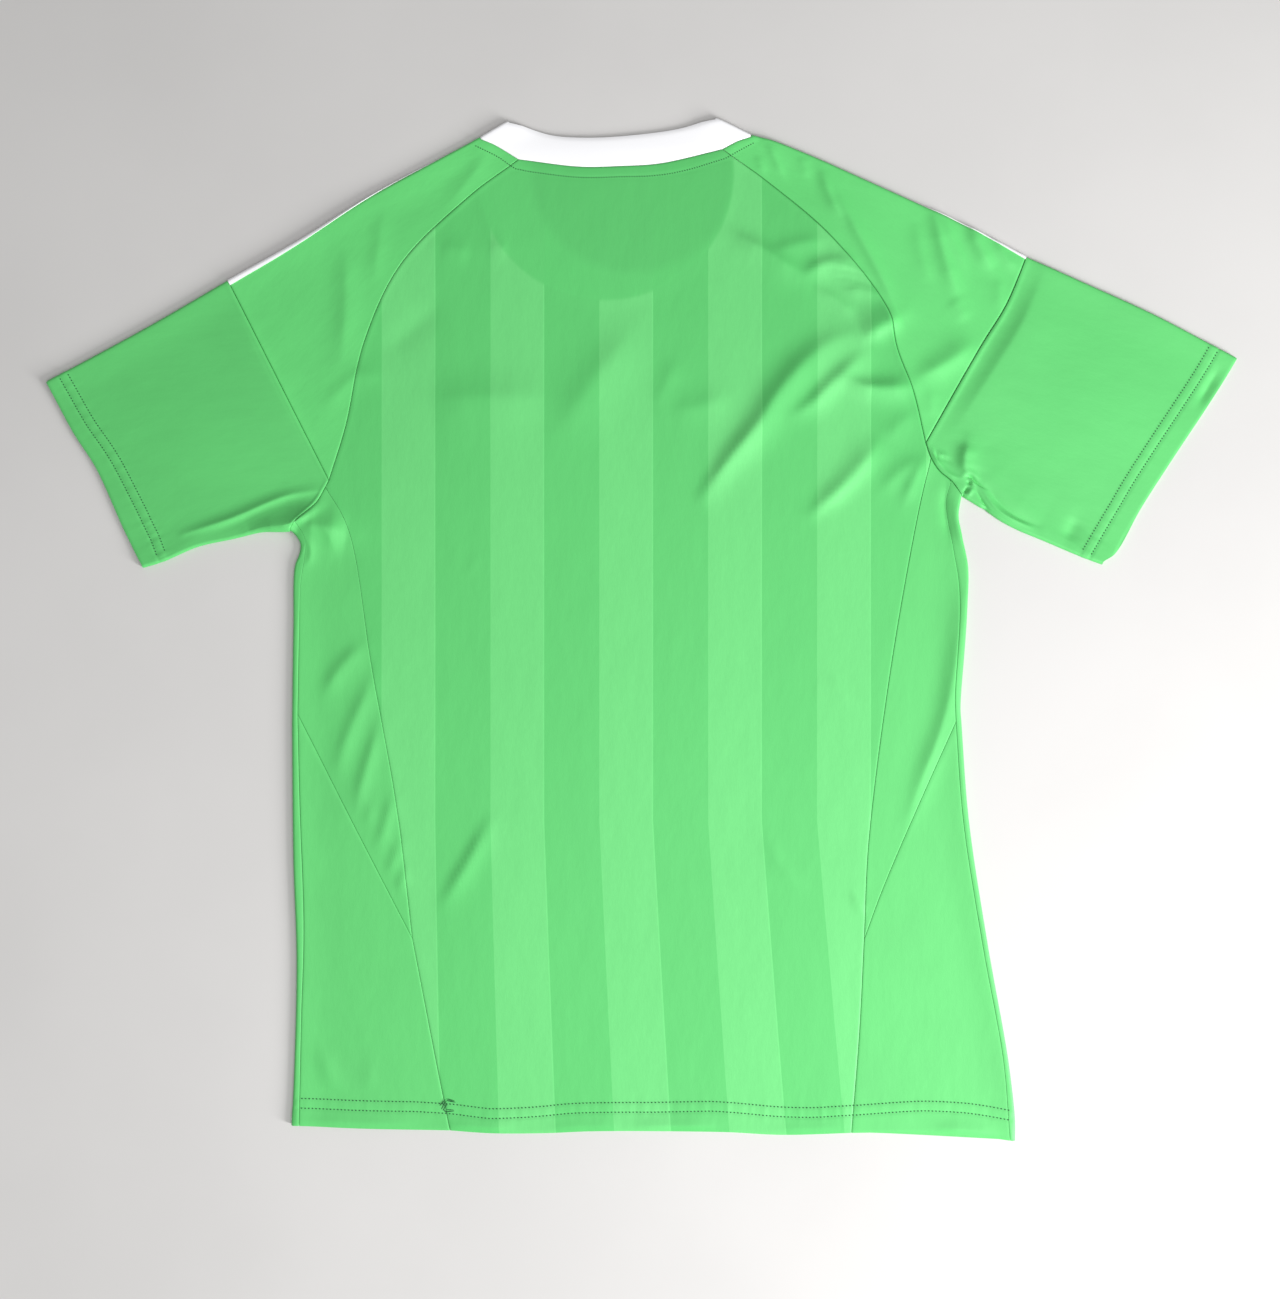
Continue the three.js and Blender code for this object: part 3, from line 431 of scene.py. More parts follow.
def patch(left, right, top, bottom):
    """A four-sided patch in plan, between two lines of rows and two lines of columns."""
    v = ((shares(left) + shares(right)) / 2)[:, None, None]
    u = ((shares(top) + shares(bottom)) / 2)[None, :, None]
    rows = top[None] * (1 - v) + bottom[None] * v
    columns = left[:, None] * (1 - u) + right[:, None] * u
    corners = (top[0] * (1 - v) + bottom[0] * v) * (1 - u) + (top[-1] * (1 - v) + bottom[-1] * v) * u
    return rows + columns - corners


# Lines beside a sewn edge: distance from it, and how deep the cloth is drawn in there
SEAM_LINES = ((SEAM_HALF_GAP, 1.0), (0.55, 0.36), (1.3, 0.06))


def with_tucks(grid, edges):
    """Adds the extra lines beside each sewn edge, and gives how deep each point is drawn into a seam.
    Each edge has one depth or one for each of its points."""
    lines = {"left": grid[:, 0], "right": grid[:, -1], "top": grid[0], "bottom": grid[-1]}
    strengths = {edge: (shares(lines[edge]), np.broadcast_to(value, len(lines[edge]))) for edge, value in edges.items()}
    depth = np.zeros(grid.shape[:2])
    for edge in ("left", "right", "top", "bottom"):
        if edge not in edges:
            continue
        across = edge in ("left", "right")
        if across:
            grid, depth = grid.swapaxes(0, 1), depth.T
        if edge in ("right", "bottom"):
            grid, depth = grid[::-1], depth[::-1]
        strength = np.interp(shares(grid[0]), *strengths[edge])
        first, step = grid[0], grid[1] - grid[0]
        width = np.maximum(np.linalg.norm(step, axis=-1, keepdims=True), 1e-6)
        lines = [first + step * np.minimum(distance / width, 0.8) for distance, _ in SEAM_LINES]
        depths = [np.maximum(depth[0], value * strength) for _, value in SEAM_LINES]
        grid = np.concatenate([np.array(lines), grid[1:]])
        depth = np.concatenate([np.array(depths), depth[1:]])
        if edge in ("right", "bottom"):
            grid, depth = grid[::-1], depth[::-1]
        if across:
            grid, depth = grid.swapaxes(0, 1), depth.T
    return grid, depth


# Seams and folded edges of both halves

def lay_out(half):
    lines = {
        "raglan": cut(half["raglan"], ROWS["raglan"]),
        "front_raglan": cut(half["front_raglan"], ROWS["raglan"]),
        "side": cut(half["side"], ROWS["side_upper"]),
        "side_lower": cut_to_hem(half["side_lower"], ROWS["side_lower"]),
        "wrap": cut(half["wrap"], ROWS["side_upper"]),
        "wrap_lower": cut_to_hem(half["wrap_lower"], ROWS["side_lower"]),
        "diagonal": cut(half["diagonal"], COLUMNS["side"]),
        "hem": cut(half["hem"], COLUMNS["side"]),
        "sleeve_seam": cut(half["sleeve_seam"], COLUMNS["sleeve_seam"]),
        "neck_end": cut(half["neck_end"], COLUMNS["neck_end"]),
        "front_neck_end": cut(half["front_neck_end"], COLUMNS["neck_end"]),
        "shoulder": cut(half["shoulder"], ROWS["raglan"]),
        "sleeve_top": cut_to_hem(half["sleeve_top"], ROWS["sleeve"], crowding=SLEEVE_CROWDING),
        "underarm": cut_to_hem(half["underarm"], ROWS["sleeve"], crowding=SLEEVE_CROWDING),
    }
    lines["armhole"] = cut_through(half["armhole"], ARMHOLE_STEPS)
    lines["body_edge"] = chain(
        cut(half["body_edge"], ROWS["side_upper"]),
        cut_to_hem(half["body_edge_lower"], ROWS["side_lower"]),
    )
    corner, neck = np.array(half["collar_corner"], float), lines["shoulder"][0]
    lines["collar_fold"] = np.linspace(corner, neck, COLUMNS["collar"] + 1)
    return lines


LINES = {side: lay_out(half) for side, half in HALVES.items()}


def sewn(side, name):
    """How deep the cloth is drawn in at each point of a seam."""
    values = SEAMS[side][name]
    return np.interp(shares(LINES[side][name]), np.linspace(0, 1, len(values)), values)


def beside(side, name, offset):
    """A line at a distance to the right of a seam's direction."""
    line = LINES[side][name]
    along = np.gradient(line, axis=0)
    square = np.column_stack([along[:, 1], -along[:, 0]]) / np.linalg.norm(along, axis=1)[:, None]
    return (line + square * offset)[:: 6]


SEAM_FOLDS = [
    (beside(side, name, offset), width, width, height) for side, name, offset, width, height in RIDGES
]
MIDDLE = np.array([-10.0, 150.0])
FOLDED_EDGES = [
    line[np.linspace(0, len(line) - 1, 32).round().astype(int)]
    for side in LINES.values()
    for line in (
        chain(side["collar_fold"], side["shoulder"], side["sleeve_top"]),
        side["underarm"],
        side["body_edge"],
    )
]


# Height of the top layer

def fade(start, end, value):
    t = np.clip((value - start) / (end - start), 0, 1)
    return 1 - t * t * (3 - 2 * t)


def nearest(line, p):
    """Least distance in plan from each point to a line, and the share of the line's length where that is."""
    flat = p.reshape(-1, 2)
    a, along = line[:-1], np.diff(line, axis=0)
    t = np.clip(((flat[:, None] - a[None]) * along[None]).sum(-1) / (along**2).sum(-1)[None], 0, 1)
    gap = np.linalg.norm(flat[:, None] - a[None] - t[..., None] * along[None], axis=-1)
    k = gap.argmin(axis=1)
    row = np.arange(len(flat))
    places = shares(line)
    share = places[k] + t[row, k] * (places[k + 1] - places[k])
    return gap[row, k].reshape(p.shape[:-1]), share.reshape(p.shape[:-1])


def fold_height(p, points, right, left, height, narrowed=1.0):
    """Rise of the cloth over one fold, which falls away differently on its two sides."""
    rise = np.zeros(len(p))
    reach = 2.6 * max(right, left)
    low, high = np.min(points, axis=0) - reach, np.max(points, axis=0) + reach
    near = np.flatnonzero(((p > low) & (p < high)).all(axis=1))
    if not len(near):
        return rise
    line = spline(points)[:: 12]
    a, along = line[:-1], np.diff(line, axis=0)
    length = np.linalg.norm(along, axis=1)
    off = p[near, None] - a[None]
    t = np.clip((off * along).sum(-1) / length**2, 0, 1)
    off -= t[..., None] * along
    gap = np.linalg.norm(off, axis=-1)
    k = gap.argmin(axis=1)
    row = np.arange(len(near))
    gap, off, t, along = gap[row, k], off[row, k], t[row, k], along[k]
    side = (along[:, 0] * off[:, 1] - along[:, 1] * off[:, 0]) / np.maximum(length[k] * gap, 1e-9)
    share = (np.concatenate([[0], np.cumsum(length)])[k] + t * length[k]) / length.sum()
    width = ((right + left) / 2 + (left - right) / 2 * side) * (1 + (narrowed - 1) * share)
    thinning = FOLD_ENDS + (1 - FOLD_ENDS) * np.minimum(1, 1.25 * np.sin(math.pi * share))
    rise[near] = height * thinning * np.exp(-((gap / width) ** FOLD_PEAK))
    return rise


def top_of(p):
    """Height of the top layer's outer side at places in plan."""
    flat = p.reshape(-1, 2)
    near = np.min([nearest(line, flat)[0] for line in FOLDED_EDGES], axis=0)
    z = TOP_LAYER + WALL + EDGE_LIFT * np.exp(-((near / EDGE_REACH) ** 2))
    for fold in (*FOLDS, *SEAM_FOLDS):
        z += fold_height(flat, *fold)
    for x, y, reach_x, reach_y, height in SWELLS:
        z += height * np.exp(-(((flat[:, 0] - x) / reach_x) ** 2) - ((flat[:, 1] - y) / reach_y) ** 2)
    out = np.hypot((flat[:, 0] - FACING["x"]) / FACING["half_width"], (flat[:, 1] - FACING["y"]) / FACING["depth"])
    z += FACING_RISE * fade(1, 1 + FACING_FADE, out) * fade(*FACING_NECK, flat[:, 1])
    return z.reshape(p.shape[:-1])


# Rows of the two layers and of the turn between them

def raised(p, z):
    return np.concatenate([p, np.broadcast_to(np.asarray(z, float), p.shape[:-1])[..., None]], axis=-1)


def turns(start, out, height, steps=TURN_STEPS):
    """Points round a folded edge from the top layer down to the lower one, for each row."""
    radius = (height / 2)[:, None]
    angles = (np.arange(1, steps) * math.pi / steps)[None]
    plan = start[:, None] + out[:, None] * (radius * np.sin(angles))[..., None]
    return raised(plan, radius + radius * np.cos(angles))


def turn_starts(line, out):
    return line - out * (top_of(line) / 2)[:, None]


def folds_of(side):
    """Folded edges of one half: where each turn starts and which way it faces."""
    lines = LINES[side]
    top = chain(lines["collar_fold"], lines["shoulder"], lines["sleeve_top"])
    out = outwards(top, MIDDLE)
    start = turn_starts(top, out)
    neck = COLUMNS["collar"]
    seam = neck + ROWS["raglan"]
    armhole = lines["armhole"]
    along = armhole[-1] - armhole[-1 - ARMHOLE_STEPS[-1]]
    along /= np.linalg.norm(along)
    sleeve_middle = lines["sleeve_top"][ROWS["sleeve"] // 2]
    underarm, body = lines["underarm"], lines["body_edge"]
    underarm_out = outwards(underarm, sleeve_middle)
    body_out = outwards(body, np.array([MIDDLE[0], -100.0]))
    for k in range(4):
        share = 1 - k / 4
        for towards in (underarm_out, body_out):
            mixed = towards[k] * (1 - share) + along * share
            towards[k] = mixed / np.linalg.norm(mixed)
    return {
        "collar": (start[: neck + 1], out[: neck + 1]),
        "raglan": (start[neck: seam + 1], out[neck: seam + 1]),
        "sleeve": (start[seam:], out[seam:]),
        "underarm": (turn_starts(underarm, underarm_out), underarm_out),
        "body": (turn_starts(body, body_out), body_out),
    }


EDGES = {side: folds_of(side) for side in HALVES}


def armhole_of(side):
    """The armhole as far as the turn of the body's edge."""
    return ended(LINES[side]["armhole"], last=EDGES[side]["body"][0][0])


# Fine relief of hems and topstitching, by distance from an edge

def hem_relief(edge, p, hem):
    """Thicker turned hem with its rows of stitches, beside an edge."""
    distance, share = nearest(edge, p)
    rows = HEMS[hem]
    beyond = distance - np.interp(share, *zip(*rows["first"]))
    relief = HEM_THICKER * fade(rows["apart"], rows["apart"] + 2, beyond)
    for row in (0, rows["apart"]):
        relief = relief - STITCH_DIP * np.exp(-(((beyond - row) / 1.1) ** 2))
    along = share * length_of(edge) * 2 * math.pi / PUCKER["length"]
    waves = np.sin(along) + 0.7 * np.sin(along * 1.63 + 1) + 0.5 * np.sin(along * 0.61 + 2)
    relief = relief + PUCKER["height"] * waves * np.exp(-(((beyond - rows["apart"] / 2) / PUCKER["reach"]) ** 2))
    return relief - 0.45 * np.exp(-((distance / 0.8) ** 2))


def neck_relief(p):
    """The back's edge over its seam allowance, topstitched beside the neck band."""
    distance, share = nearest(NECK_LINE, p)
    beyond = distance - np.interp(share, *zip(*NECK_STITCH))
    return 0.3 * fade(-0.5, 1.5, beyond) - 0.3 * np.exp(-((beyond / 1.2) ** 2))


NECK_LINE = chain(LINES["left"]["neck_end"][::-1], cut(BACK_NECK, 40), LINES["right"]["neck_end"])
HEM_LINE = np.vstack([
    LINES["left"]["body_edge"][-1:],
    chain(LINES["left"]["hem"], cut(BACK_HEM, 40), LINES["right"]["hem"][::-1]),
    LINES["right"]["body_edge"][-1:],
])
CUFFS = {side: cut(HALVES[side]["cuff"], 60) for side in HALVES}
CUFFS["right"] = cut((*HALVES["right"]["cuff"][:-1], (346.8, 42.5)), 60)  # past its rounded corner


def surface(plan, depth, near_neck=False, at_hem=False):
    """The outer side of a top panel: its folds, drawn into its seams, with its hem and topstitching."""
    z = top_of(plan) - SEAM_DEPTH * depth
    if near_neck:
        z += neck_relief(plan)
    if at_hem:
        z += hem_relief(HEM_LINE, plan, "hem")
    return raised(plan, z)


# Meshes

def new_piece(name, bm, material, wall=None, sharp=50):
    """Makes the object of a piece from a bmesh, in metres at the origin, with its wall and smooth shading."""
    mesh = bpy.data.meshes.new(name)
    bm.to_mesh(mesh)
    bm.free()
    piece = bpy.data.objects.new(name, mesh)
    bpy.context.scene.collection.objects.link(piece)
    mesh.materials.append(material)
    if wall:
        solidify = piece.modifiers.new("Wall", "SOLIDIFY")
        solidify.thickness = wall * MM
        solidify.offset = -1
        solidify.use_even_offset = False
        bpy.context.view_layer.update()
        walled = bpy.data.meshes.new_from_object(piece.evaluated_get(bpy.context.evaluated_depsgraph_get()))
        piece.modifiers.clear()
        piece.data = walled
        bpy.data.meshes.remove(mesh)
        walled.name = name
    piece.data.shade_smooth()
    piece.data.set_sharp_from_angle(angle=math.radians(sharp))
    return piece


def cloth(name, grid, material, depth=None, ring=False, rolled=False, left_out=None, wall=1.1, pattern=None):
    """A cloth piece from a grid of outer points in millimetres, with the box and area of its cut."""
    rows, columns = grid.shape[:2]
    if ring:
        grid = np.concatenate([grid, grid[:, :1]], axis=1)
        depth = None if depth is None else np.concatenate([depth, depth[:, :1]], axis=1)
        columns += 1
    if pattern is None:
        across = np.nan_to_num(np.linalg.norm(np.diff(grid, axis=1, prepend=grid[:, :1]), axis=-1)).cumsum(axis=1)
        down = np.nan_to_num(np.linalg.norm(np.diff(grid, axis=0, prepend=grid[:1]), axis=-1)).cumsum(axis=0)
        pattern = np.stack([across - across[:, columns // 2:columns // 2 + 1], -down], axis=-1) * MM
    bm = bmesh.new()
    uv = bm.loops.layers.uv.new("Cloth")
    # how deep each point lies in a seam, which the materials also use to paint shade there
    seam = bm.verts.layers.float.new("seam")
    bmesh.ops.create_grid(bm, x_segments=columns - 1, y_segments=rows - 1, size=0.5)
    place = {}
    for v in bm.verts:
        j = round((v.co.x + 0.5) * (columns - 1))
        i = round((v.co.y + 0.5) * (rows - 1))
        place[v] = (i, j)
    for v, (i, j) in place.items():
        v.co = Vector(np.nan_to_num(grid[i, j])) * MM
        if depth is not None:
            v[seam] = depth[i, j]
    for face in bm.faces:
        for loop in face.loops:
            loop[uv].uv = pattern[place[loop.vert]]
    if left_out is not None:
        faces = [f for f in bm.faces if left_out(min(place[v][0] for v in f.verts), min(place[v][1] for v in f.verts))]
        bmesh.ops.delete(bm, geom=faces, context="FACES")
    if ring:
        ends = [v for v, (i, j) in place.items() if v.is_valid and j in (0, columns - 1)]
        bmesh.ops.remove_doubles(bm, verts=ends, dist=1e-6)
    bm.normal_update()
    above = [f for f in bm.faces if f.calc_center_median().z > TOP_LAYER * MM]
    if sum(f.normal.z * f.calc_area() for f in above) < 0:
        bmesh.ops.reverse_faces(bm, faces=bm.faces[:])
    area = sum(f.calc_area() for f in bm.faces)
    if rolled:
        over = float(np.nansum(np.linalg.norm(np.diff(grid, axis=1), axis=-1), axis=1).max())
        down = float(np.nansum(np.linalg.norm(np.diff(grid, axis=0), axis=-1), axis=0).max())
    else:
        over, down = (float(np.ptp(grid[..., k])) for k in (0, 1))
    piece = new_piece(name, bm, material, wall)
    return piece, (over * MM, down * MM), area


def settle(made, node):
    """Puts a cloth piece in the place of its solid."""
    piece, flat, area = made
    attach(piece, "root")
    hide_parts(node)
    area = min(area, flat[0] * flat[1])
    return piece


# Shader maths

class Maths:
    """A value in a shader. Sums on it add Math nodes."""

    def __init__(self, finish, socket):
        self.finish = finish
        self.socket = socket

    def _with(self, operation, *others, swapped=False):
        values = [self, *others]
        if swapped:
            values.reverse()
        node = self.finish.node("ShaderNodeMath", {"operation": operation}, *values)
        return Maths(self.finish, node.outputs[0])

    def __add__(self, other):
        return self._with("ADD", other)

    __radd__ = __add__

    def __sub__(self, other):
        return self._with("SUBTRACT", other)

    def __rsub__(self, other):
        return self._with("SUBTRACT", other, swapped=True)

    def __mul__(self, other):
        return self._with("MULTIPLY", other)

    __rmul__ = __mul__

    def __truediv__(self, other):
        return self._with("DIVIDE", other)

    def __pow__(self, other):
        return self._with("POWER", other)

    def floor(self):
        return self._with("FLOOR")

    def fraction(self):
        return self._with("FRACT")

    def modulo(self, other):
        return self._with("FLOORED_MODULO", other)

    def least(self, other):
        return self._with("MINIMUM", other)

    def most(self, other):
        return self._with("MAXIMUM", other)

    def sine(self):
        return self._with("SINE")

    def absolute(self):
        return self._with("ABSOLUTE")

    def step(self, start, end):
        """0 before start, 1 after end, smooth between them."""
        node = self.finish.node(
            "ShaderNodeMapRange", {"interpolation_type": "SMOOTHSTEP", "clamp": True}, self, start, end, 0.0, 1.0
        )
        return Maths(self.finish, node.outputs[0])


class Finish:
    """One procedural material, made node by node."""

    def __init__(self, name):
        self.material = bpy.data.materials.new(name)
        self.material.use_nodes = True
        self.tree = self.material.node_tree
        self.shader = self.tree.nodes["Principled BSDF"]

    def node(self, kind, settings=None, *values, **named):
        node = self.tree.nodes.new(kind)
        for name, value in (settings or {}).items():
            setattr(node, name, value)
        pairs = [*zip(node.inputs, values), *((node.inputs[name], value) for name, value in named.items())]
        for socket, value in pairs:
            if isinstance(value, Maths):
                self.tree.links.new(value.socket, socket)
            elif isinstance(value, bpy.types.NodeSocket):
                self.tree.links.new(value, socket)
            elif value is not None:
                socket.default_value = value
        return node

    def value(self, kind, settings=None, output=0, **named):
        return Maths(self, self.node(kind, settings, **named).outputs[output])

    def feed(self, name, value):
        socket = value.socket if isinstance(value, Maths) else value
        self.tree.links.new(socket, self.shader.inputs[name])

    def mix(self, factor, a, b):
        """Mixes two colours."""
        node = self.tree.nodes.new("ShaderNodeMix")
        node.data_type = "RGBA"
        for socket, value in ((node.inputs[0], factor), (node.inputs[6], a), (node.inputs[7], b)):
            if isinstance(value, Maths):
                self.tree.links.new(value.socket, socket)
            elif isinstance(value, bpy.types.NodeSocket):
                self.tree.links.new(value, socket)
            else:
                socket.default_value = value
        return node.outputs[2]

    def bumped(self, height, distance, strength=1.0, normal=None):
        node = self.node("ShaderNodeBump", None)
        node.inputs["Strength"].default_value = strength
        node.inputs["Distance"].default_value = distance
        self.tree.links.new(height.socket, node.inputs["Height"])
        if normal is not None:
            self.tree.links.new(normal, node.inputs["Normal"])
        return node.outputs[0]


def opaque(colour, share=1.0):
    return (*(channel * share for channel in colour), 1.0)


def cloth_axes(finish):
    """The cloth's own coordinates, across and along the knit, in millimetres."""
    uv = finish.node("ShaderNodeUVMap", {"uv_map": "Cloth"}).outputs[0]
    parts = finish.node("ShaderNodeSeparateXYZ", None, uv)
    return uv, Maths(finish, parts.outputs[0]) / MM, Maths(finish, parts.outputs[1]) / MM


def noise(finish, uv, scale, stretch=(1, 1, 1), detail=2.0, roughness=0.5):
    mapped = finish.node("ShaderNodeMapping", {"vector_type": "POINT"}, uv)
    mapped.inputs["Scale"].default_value = [scale * part for part in stretch]
    return finish.value(
        "ShaderNodeTexNoise", {"noise_dimensions": "3D"}, Vector=mapped.outputs[0], Scale=1.0, Detail=detail,
        Roughness=roughness,
    )


def knit_finish(name, cloth_props, tone=1.0, striped=False):
    """Satin-faced interlock knit, with tonal stripes and the facing's tone on the back, a painted shadow within the
    half-moon and painted shade deep in the seams.
    """
    finish = Finish(name)
    uv, x, y = cloth_axes(finish)
    green = cloth_props.green
    dark, light = opaque(cloth_props.dark_stripe), opaque(cloth_props.light_stripe)
    broad = noise(finish, uv, 14, detail=3.0)
    grain = noise(finish, uv, 900, stretch=(1, 0.16, 1), detail=2.0)
    if striped:
        pitch = STRIPE["pitch"]
        drift = ((y + -STRIPE["drift_from"]) * (-1 / STRIPE["drift_over"])).most(0.0)
        shift = drift * ((x - STRIPE["start"] + -40) * STRIPE["spread"] + STRIPE["drift"])
        along = (x - shift - STRIPE["start"]) / pitch
        place = along.fraction()
        odd = (along.floor()).modulo(2.0)
        edge = 0.5 / pitch
        inside = place.step(0.0, edge) * (1 - place.step(1 - edge, 1.0))
        lit = (1 - odd) * inside
        line = (1 - odd) * place.step(1 - 3 * edge, 1 - 2 * edge) * (1 - place.step(1 - edge, 1.0))
        out = (
            ((x - FACING["x"]) / (FACING["half_width"] + 4)) ** 2.0
            + ((y - FACING["y"]) / (FACING["depth"] + 3)) ** 2.0
        )
        moon = 1 - out.step(0.95, 1.03)
        # painted shadow: a darker patch within the half-moon, where shade falls on the back
        shadow_x, shadow_y, shadow_reach = FACING_PAINTED_SHADOW
        inner = ((x - shadow_x) / shadow_reach) ** 2.0 + ((y - shadow_y) / shadow_reach) ** 2.0
        inner = 1 - inner.step(0.8, 1.08)
        colour = finish.mix(lit * (1 - moon * 0.82), dark, light)
        colour = finish.mix(line * 0.35 * (1 - moon), colour, opaque(light[:3], 1.2))
        colour = finish.mix(moon * 0.6, colour, opaque(dark[:3], 1.06))
        # painted shadow inside the half-moon
        colour = finish.mix(moon * inner * 0.75, colour, opaque(dark[:3], 0.93))
        grain = grain + lit * 0.1
    else:
        # tone scales a panel's green; for the shoulder panels it is painted sheen
        colour = finish.mix(broad.step(0.2, 0.8), opaque(green, 0.97 * tone), opaque(green, 1.03 * tone))
    colour = finish.mix((broad - 0.5).absolute() * 0.25, colour, opaque(cloth_props.shade))
    colour = finish.mix(grain.step(0.35, 0.75) * 0.1, colour, opaque(cloth_props.shade))
    # painted shade: cloth drawn deep into a seam darkens towards the seam colour, where shade falls in the groove
    seam = finish.value("ShaderNodeAttribute", {"attribute_name": "seam"}, output=2)
    colour = finish.mix(seam.step(0.1, 0.9) * 0.7, colour, opaque(cloth_props.seam))
    finish.feed("Base Color", colour)
    finish.feed("Roughness", 0.52 + broad * 0.08 + grain * 0.05)
    loops = noise(finish, uv, 1100, stretch=(1, 0.6, 1), detail=1.0)
    soft = noise(finish, uv, 60, stretch=(1, 0.45, 1), detail=3.0)
    finish.feed("Normal", finish.bumped(loops, 0.00012, 0.35, finish.bumped(soft, 0.0008, 0.5)))
    finish.shader.inputs["Specular IOR Level"].default_value = 0.45
    finish.shader.inputs["Sheen Weight"].default_value = 0.08
    finish.shader.inputs["Sheen Roughness"].default_value = 0.45
    return finish.material


def white_finish(name, colour, ribs=True):
    """White flat-knit band or tape, with fine ribs across it and painted shade at its seams."""
    finish = Finish(name)
    uv, x, y = cloth_axes(finish)
    broad = noise(finish, uv, 20, detail=3.0)
    seam = finish.value("ShaderNodeAttribute", {"attribute_name": "seam"}, output=2)
    tint = finish.mix(broad.step(0.3, 0.8) * 0.35, opaque(colour), opaque(colour, 0.95))
    # painted shade: grey where the band is drawn into its seam, where shade falls
    tint = finish.mix(seam.step(0.2, 1.0) * 0.55, tint, opaque((0.45, 0.47, 0.45)))
    finish.feed("Base Color", tint)
    finish.feed("Roughness", 0.72 + broad * 0.1)
    loops = noise(finish, uv, 1000, stretch=(1, 0.5, 1), detail=1.0)
    height = loops
    if ribs:
        height = height * 0.5 + (x * (2 * math.pi / 1.3)).sine() * 0.25
    finish.feed("Normal", finish.bumped(height, 0.00015, 0.4))
    finish.shader.inputs["Specular IOR Level"].default_value = 0.3
    finish.shader.inputs["Sheen Weight"].default_value = 0.15
    return finish.material


def thread_finish(colour):
    """Sewing thread with a fine twist, coloured dark green: partly its own colour, partly painted shade of the pits
    that its stitches pull into the cloth.
    """
    finish = Finish("Thread")
    place = finish.node("ShaderNodeTexCoord").outputs["Object"]
    twist = noise(finish, place, 2500, detail=1.0)
    finish.feed("Base Color", finish.mix(twist.step(0.3, 0.7), opaque(colour, 0.8), opaque(colour, 1.25)))
    finish.feed("Roughness", 0.5 + twist * 0.2)
    finish.feed("Normal", finish.bumped(twist, 0.0001, 0.5))
    return finish.material


# Properties

class JERSEY_PG_cloth(bpy.types.PropertyGroup):
    wall: bpy.props.FloatProperty(
        name="Cloth", description="Thickness of the laid cloth", default=1.1 * MM, unit="LENGTH"
    )
    green: bpy.props.FloatVectorProperty(
        name="Green", description="Plain panels", default=(0.106, 0.565, 0.149), subtype="COLOR"
    )
    dark_stripe: bpy.props.FloatVectorProperty(
        name="Dark stripe", description="Darker stripes of the back", default=(0.096, 0.548, 0.141), subtype="COLOR"
    )
    light_stripe: bpy.props.FloatVectorProperty(
        name="Light stripe", description="Lighter stripes of the back", default=(0.137, 0.625, 0.182), subtype="COLOR"
    )
    shade: bpy.props.FloatVectorProperty(
        name="Grain", description="Darker yarn in the knit", default=(0.1, 0.46, 0.142), subtype="COLOR"
    )
    # painted shade: the colour that cloth is darkened towards deep in a seam, where shade falls in its groove
    seam: bpy.props.FloatVectorProperty(
        name="Seam", description="Cloth deep in a seam", default=(0.04, 0.27, 0.07), subtype="COLOR"
    )
    white: bpy.props.FloatVectorProperty(
        name="White", description="Neck band and tapes", default=(0.97, 0.97, 0.99), subtype="COLOR"
    )
    # painted shade in part: the thread is made darker than its own green, standing in for the shade of the stitch pits
    thread: bpy.props.FloatVectorProperty(
        name="Thread", description="Stitches", default=(0.012, 0.12, 0.035), subtype="COLOR"
    )


class JERSEY_PG_stage(bpy.types.PropertyGroup):
    floor: bpy.props.FloatVectorProperty(
        name="Floor", description="Colour of the floor", default=(0.62, 0.61, 0.6), subtype="COLOR"
    )
    key: bpy.props.FloatProperty(name="Key light", description="Power of the light on the right", default=60.0)
    fill: bpy.props.FloatProperty(name="Fill light", description="Power of the light overhead", default=19.0)
    world: bpy.props.FloatProperty(name="Ambient", description="Strength of the plain surroundings", default=0.3)
    lens: bpy.props.FloatProperty(name="Lens", description="Focal length in millimetres", default=40.0)


def cloth_material(name, make):
    """The material of that name, made the first time that it is asked for."""
    return bpy.data.materials.get(name) or make()


def green_of(side_or_part, tone=1.0, striped=False):
    props = bpy.context.scene.jersey_cloth
    name = "Knit " + side_or_part
    return cloth_material(name, lambda: knit_finish(name, props, tone, striped))


def white_of(name, ribs=True):
    props = bpy.context.scene.jersey_cloth
    return cloth_material(name, lambda: white_finish(name, props.white, ribs))


# Operators

class JERSEY_OT_back(bpy.types.Operator):
    """Back panel with tonal stripes, between the raglan seams and the side seams"""

    bl_idname = "jersey.back"
    bl_label = "Back"

    def execute(self, context):
        def seam(part):
            return chain(part("raglan"), part("armhole")[: ARMHOLE_STEPS[0] + 1], part("side"), part("side_lower"))

        share = np.linspace(0, 1, COLUMNS["back"] + 1)
        share += CROWDING * share * (1 - share)
        left, right = (seam(LINES[side].get) for side in ("left", "right"))
        plan = patch(left, right, cut_at(BACK_NECK, share), cut_at(BACK_HEM, share))
        depths = {side: seam(lambda name: sewn(side, name)) for side in ("left", "right")}
        plan, depth = with_tucks(plan, {**depths, "top": NECK_SEAM})
        grid = surface(plan, depth, near_neck=True, at_hem=True)
        made = cloth("back_panel", grid, green_of("back", striped=True), depth, pattern=plan * MM)
        settle(
            made, "back_body"
        )
        return {"FINISHED"}


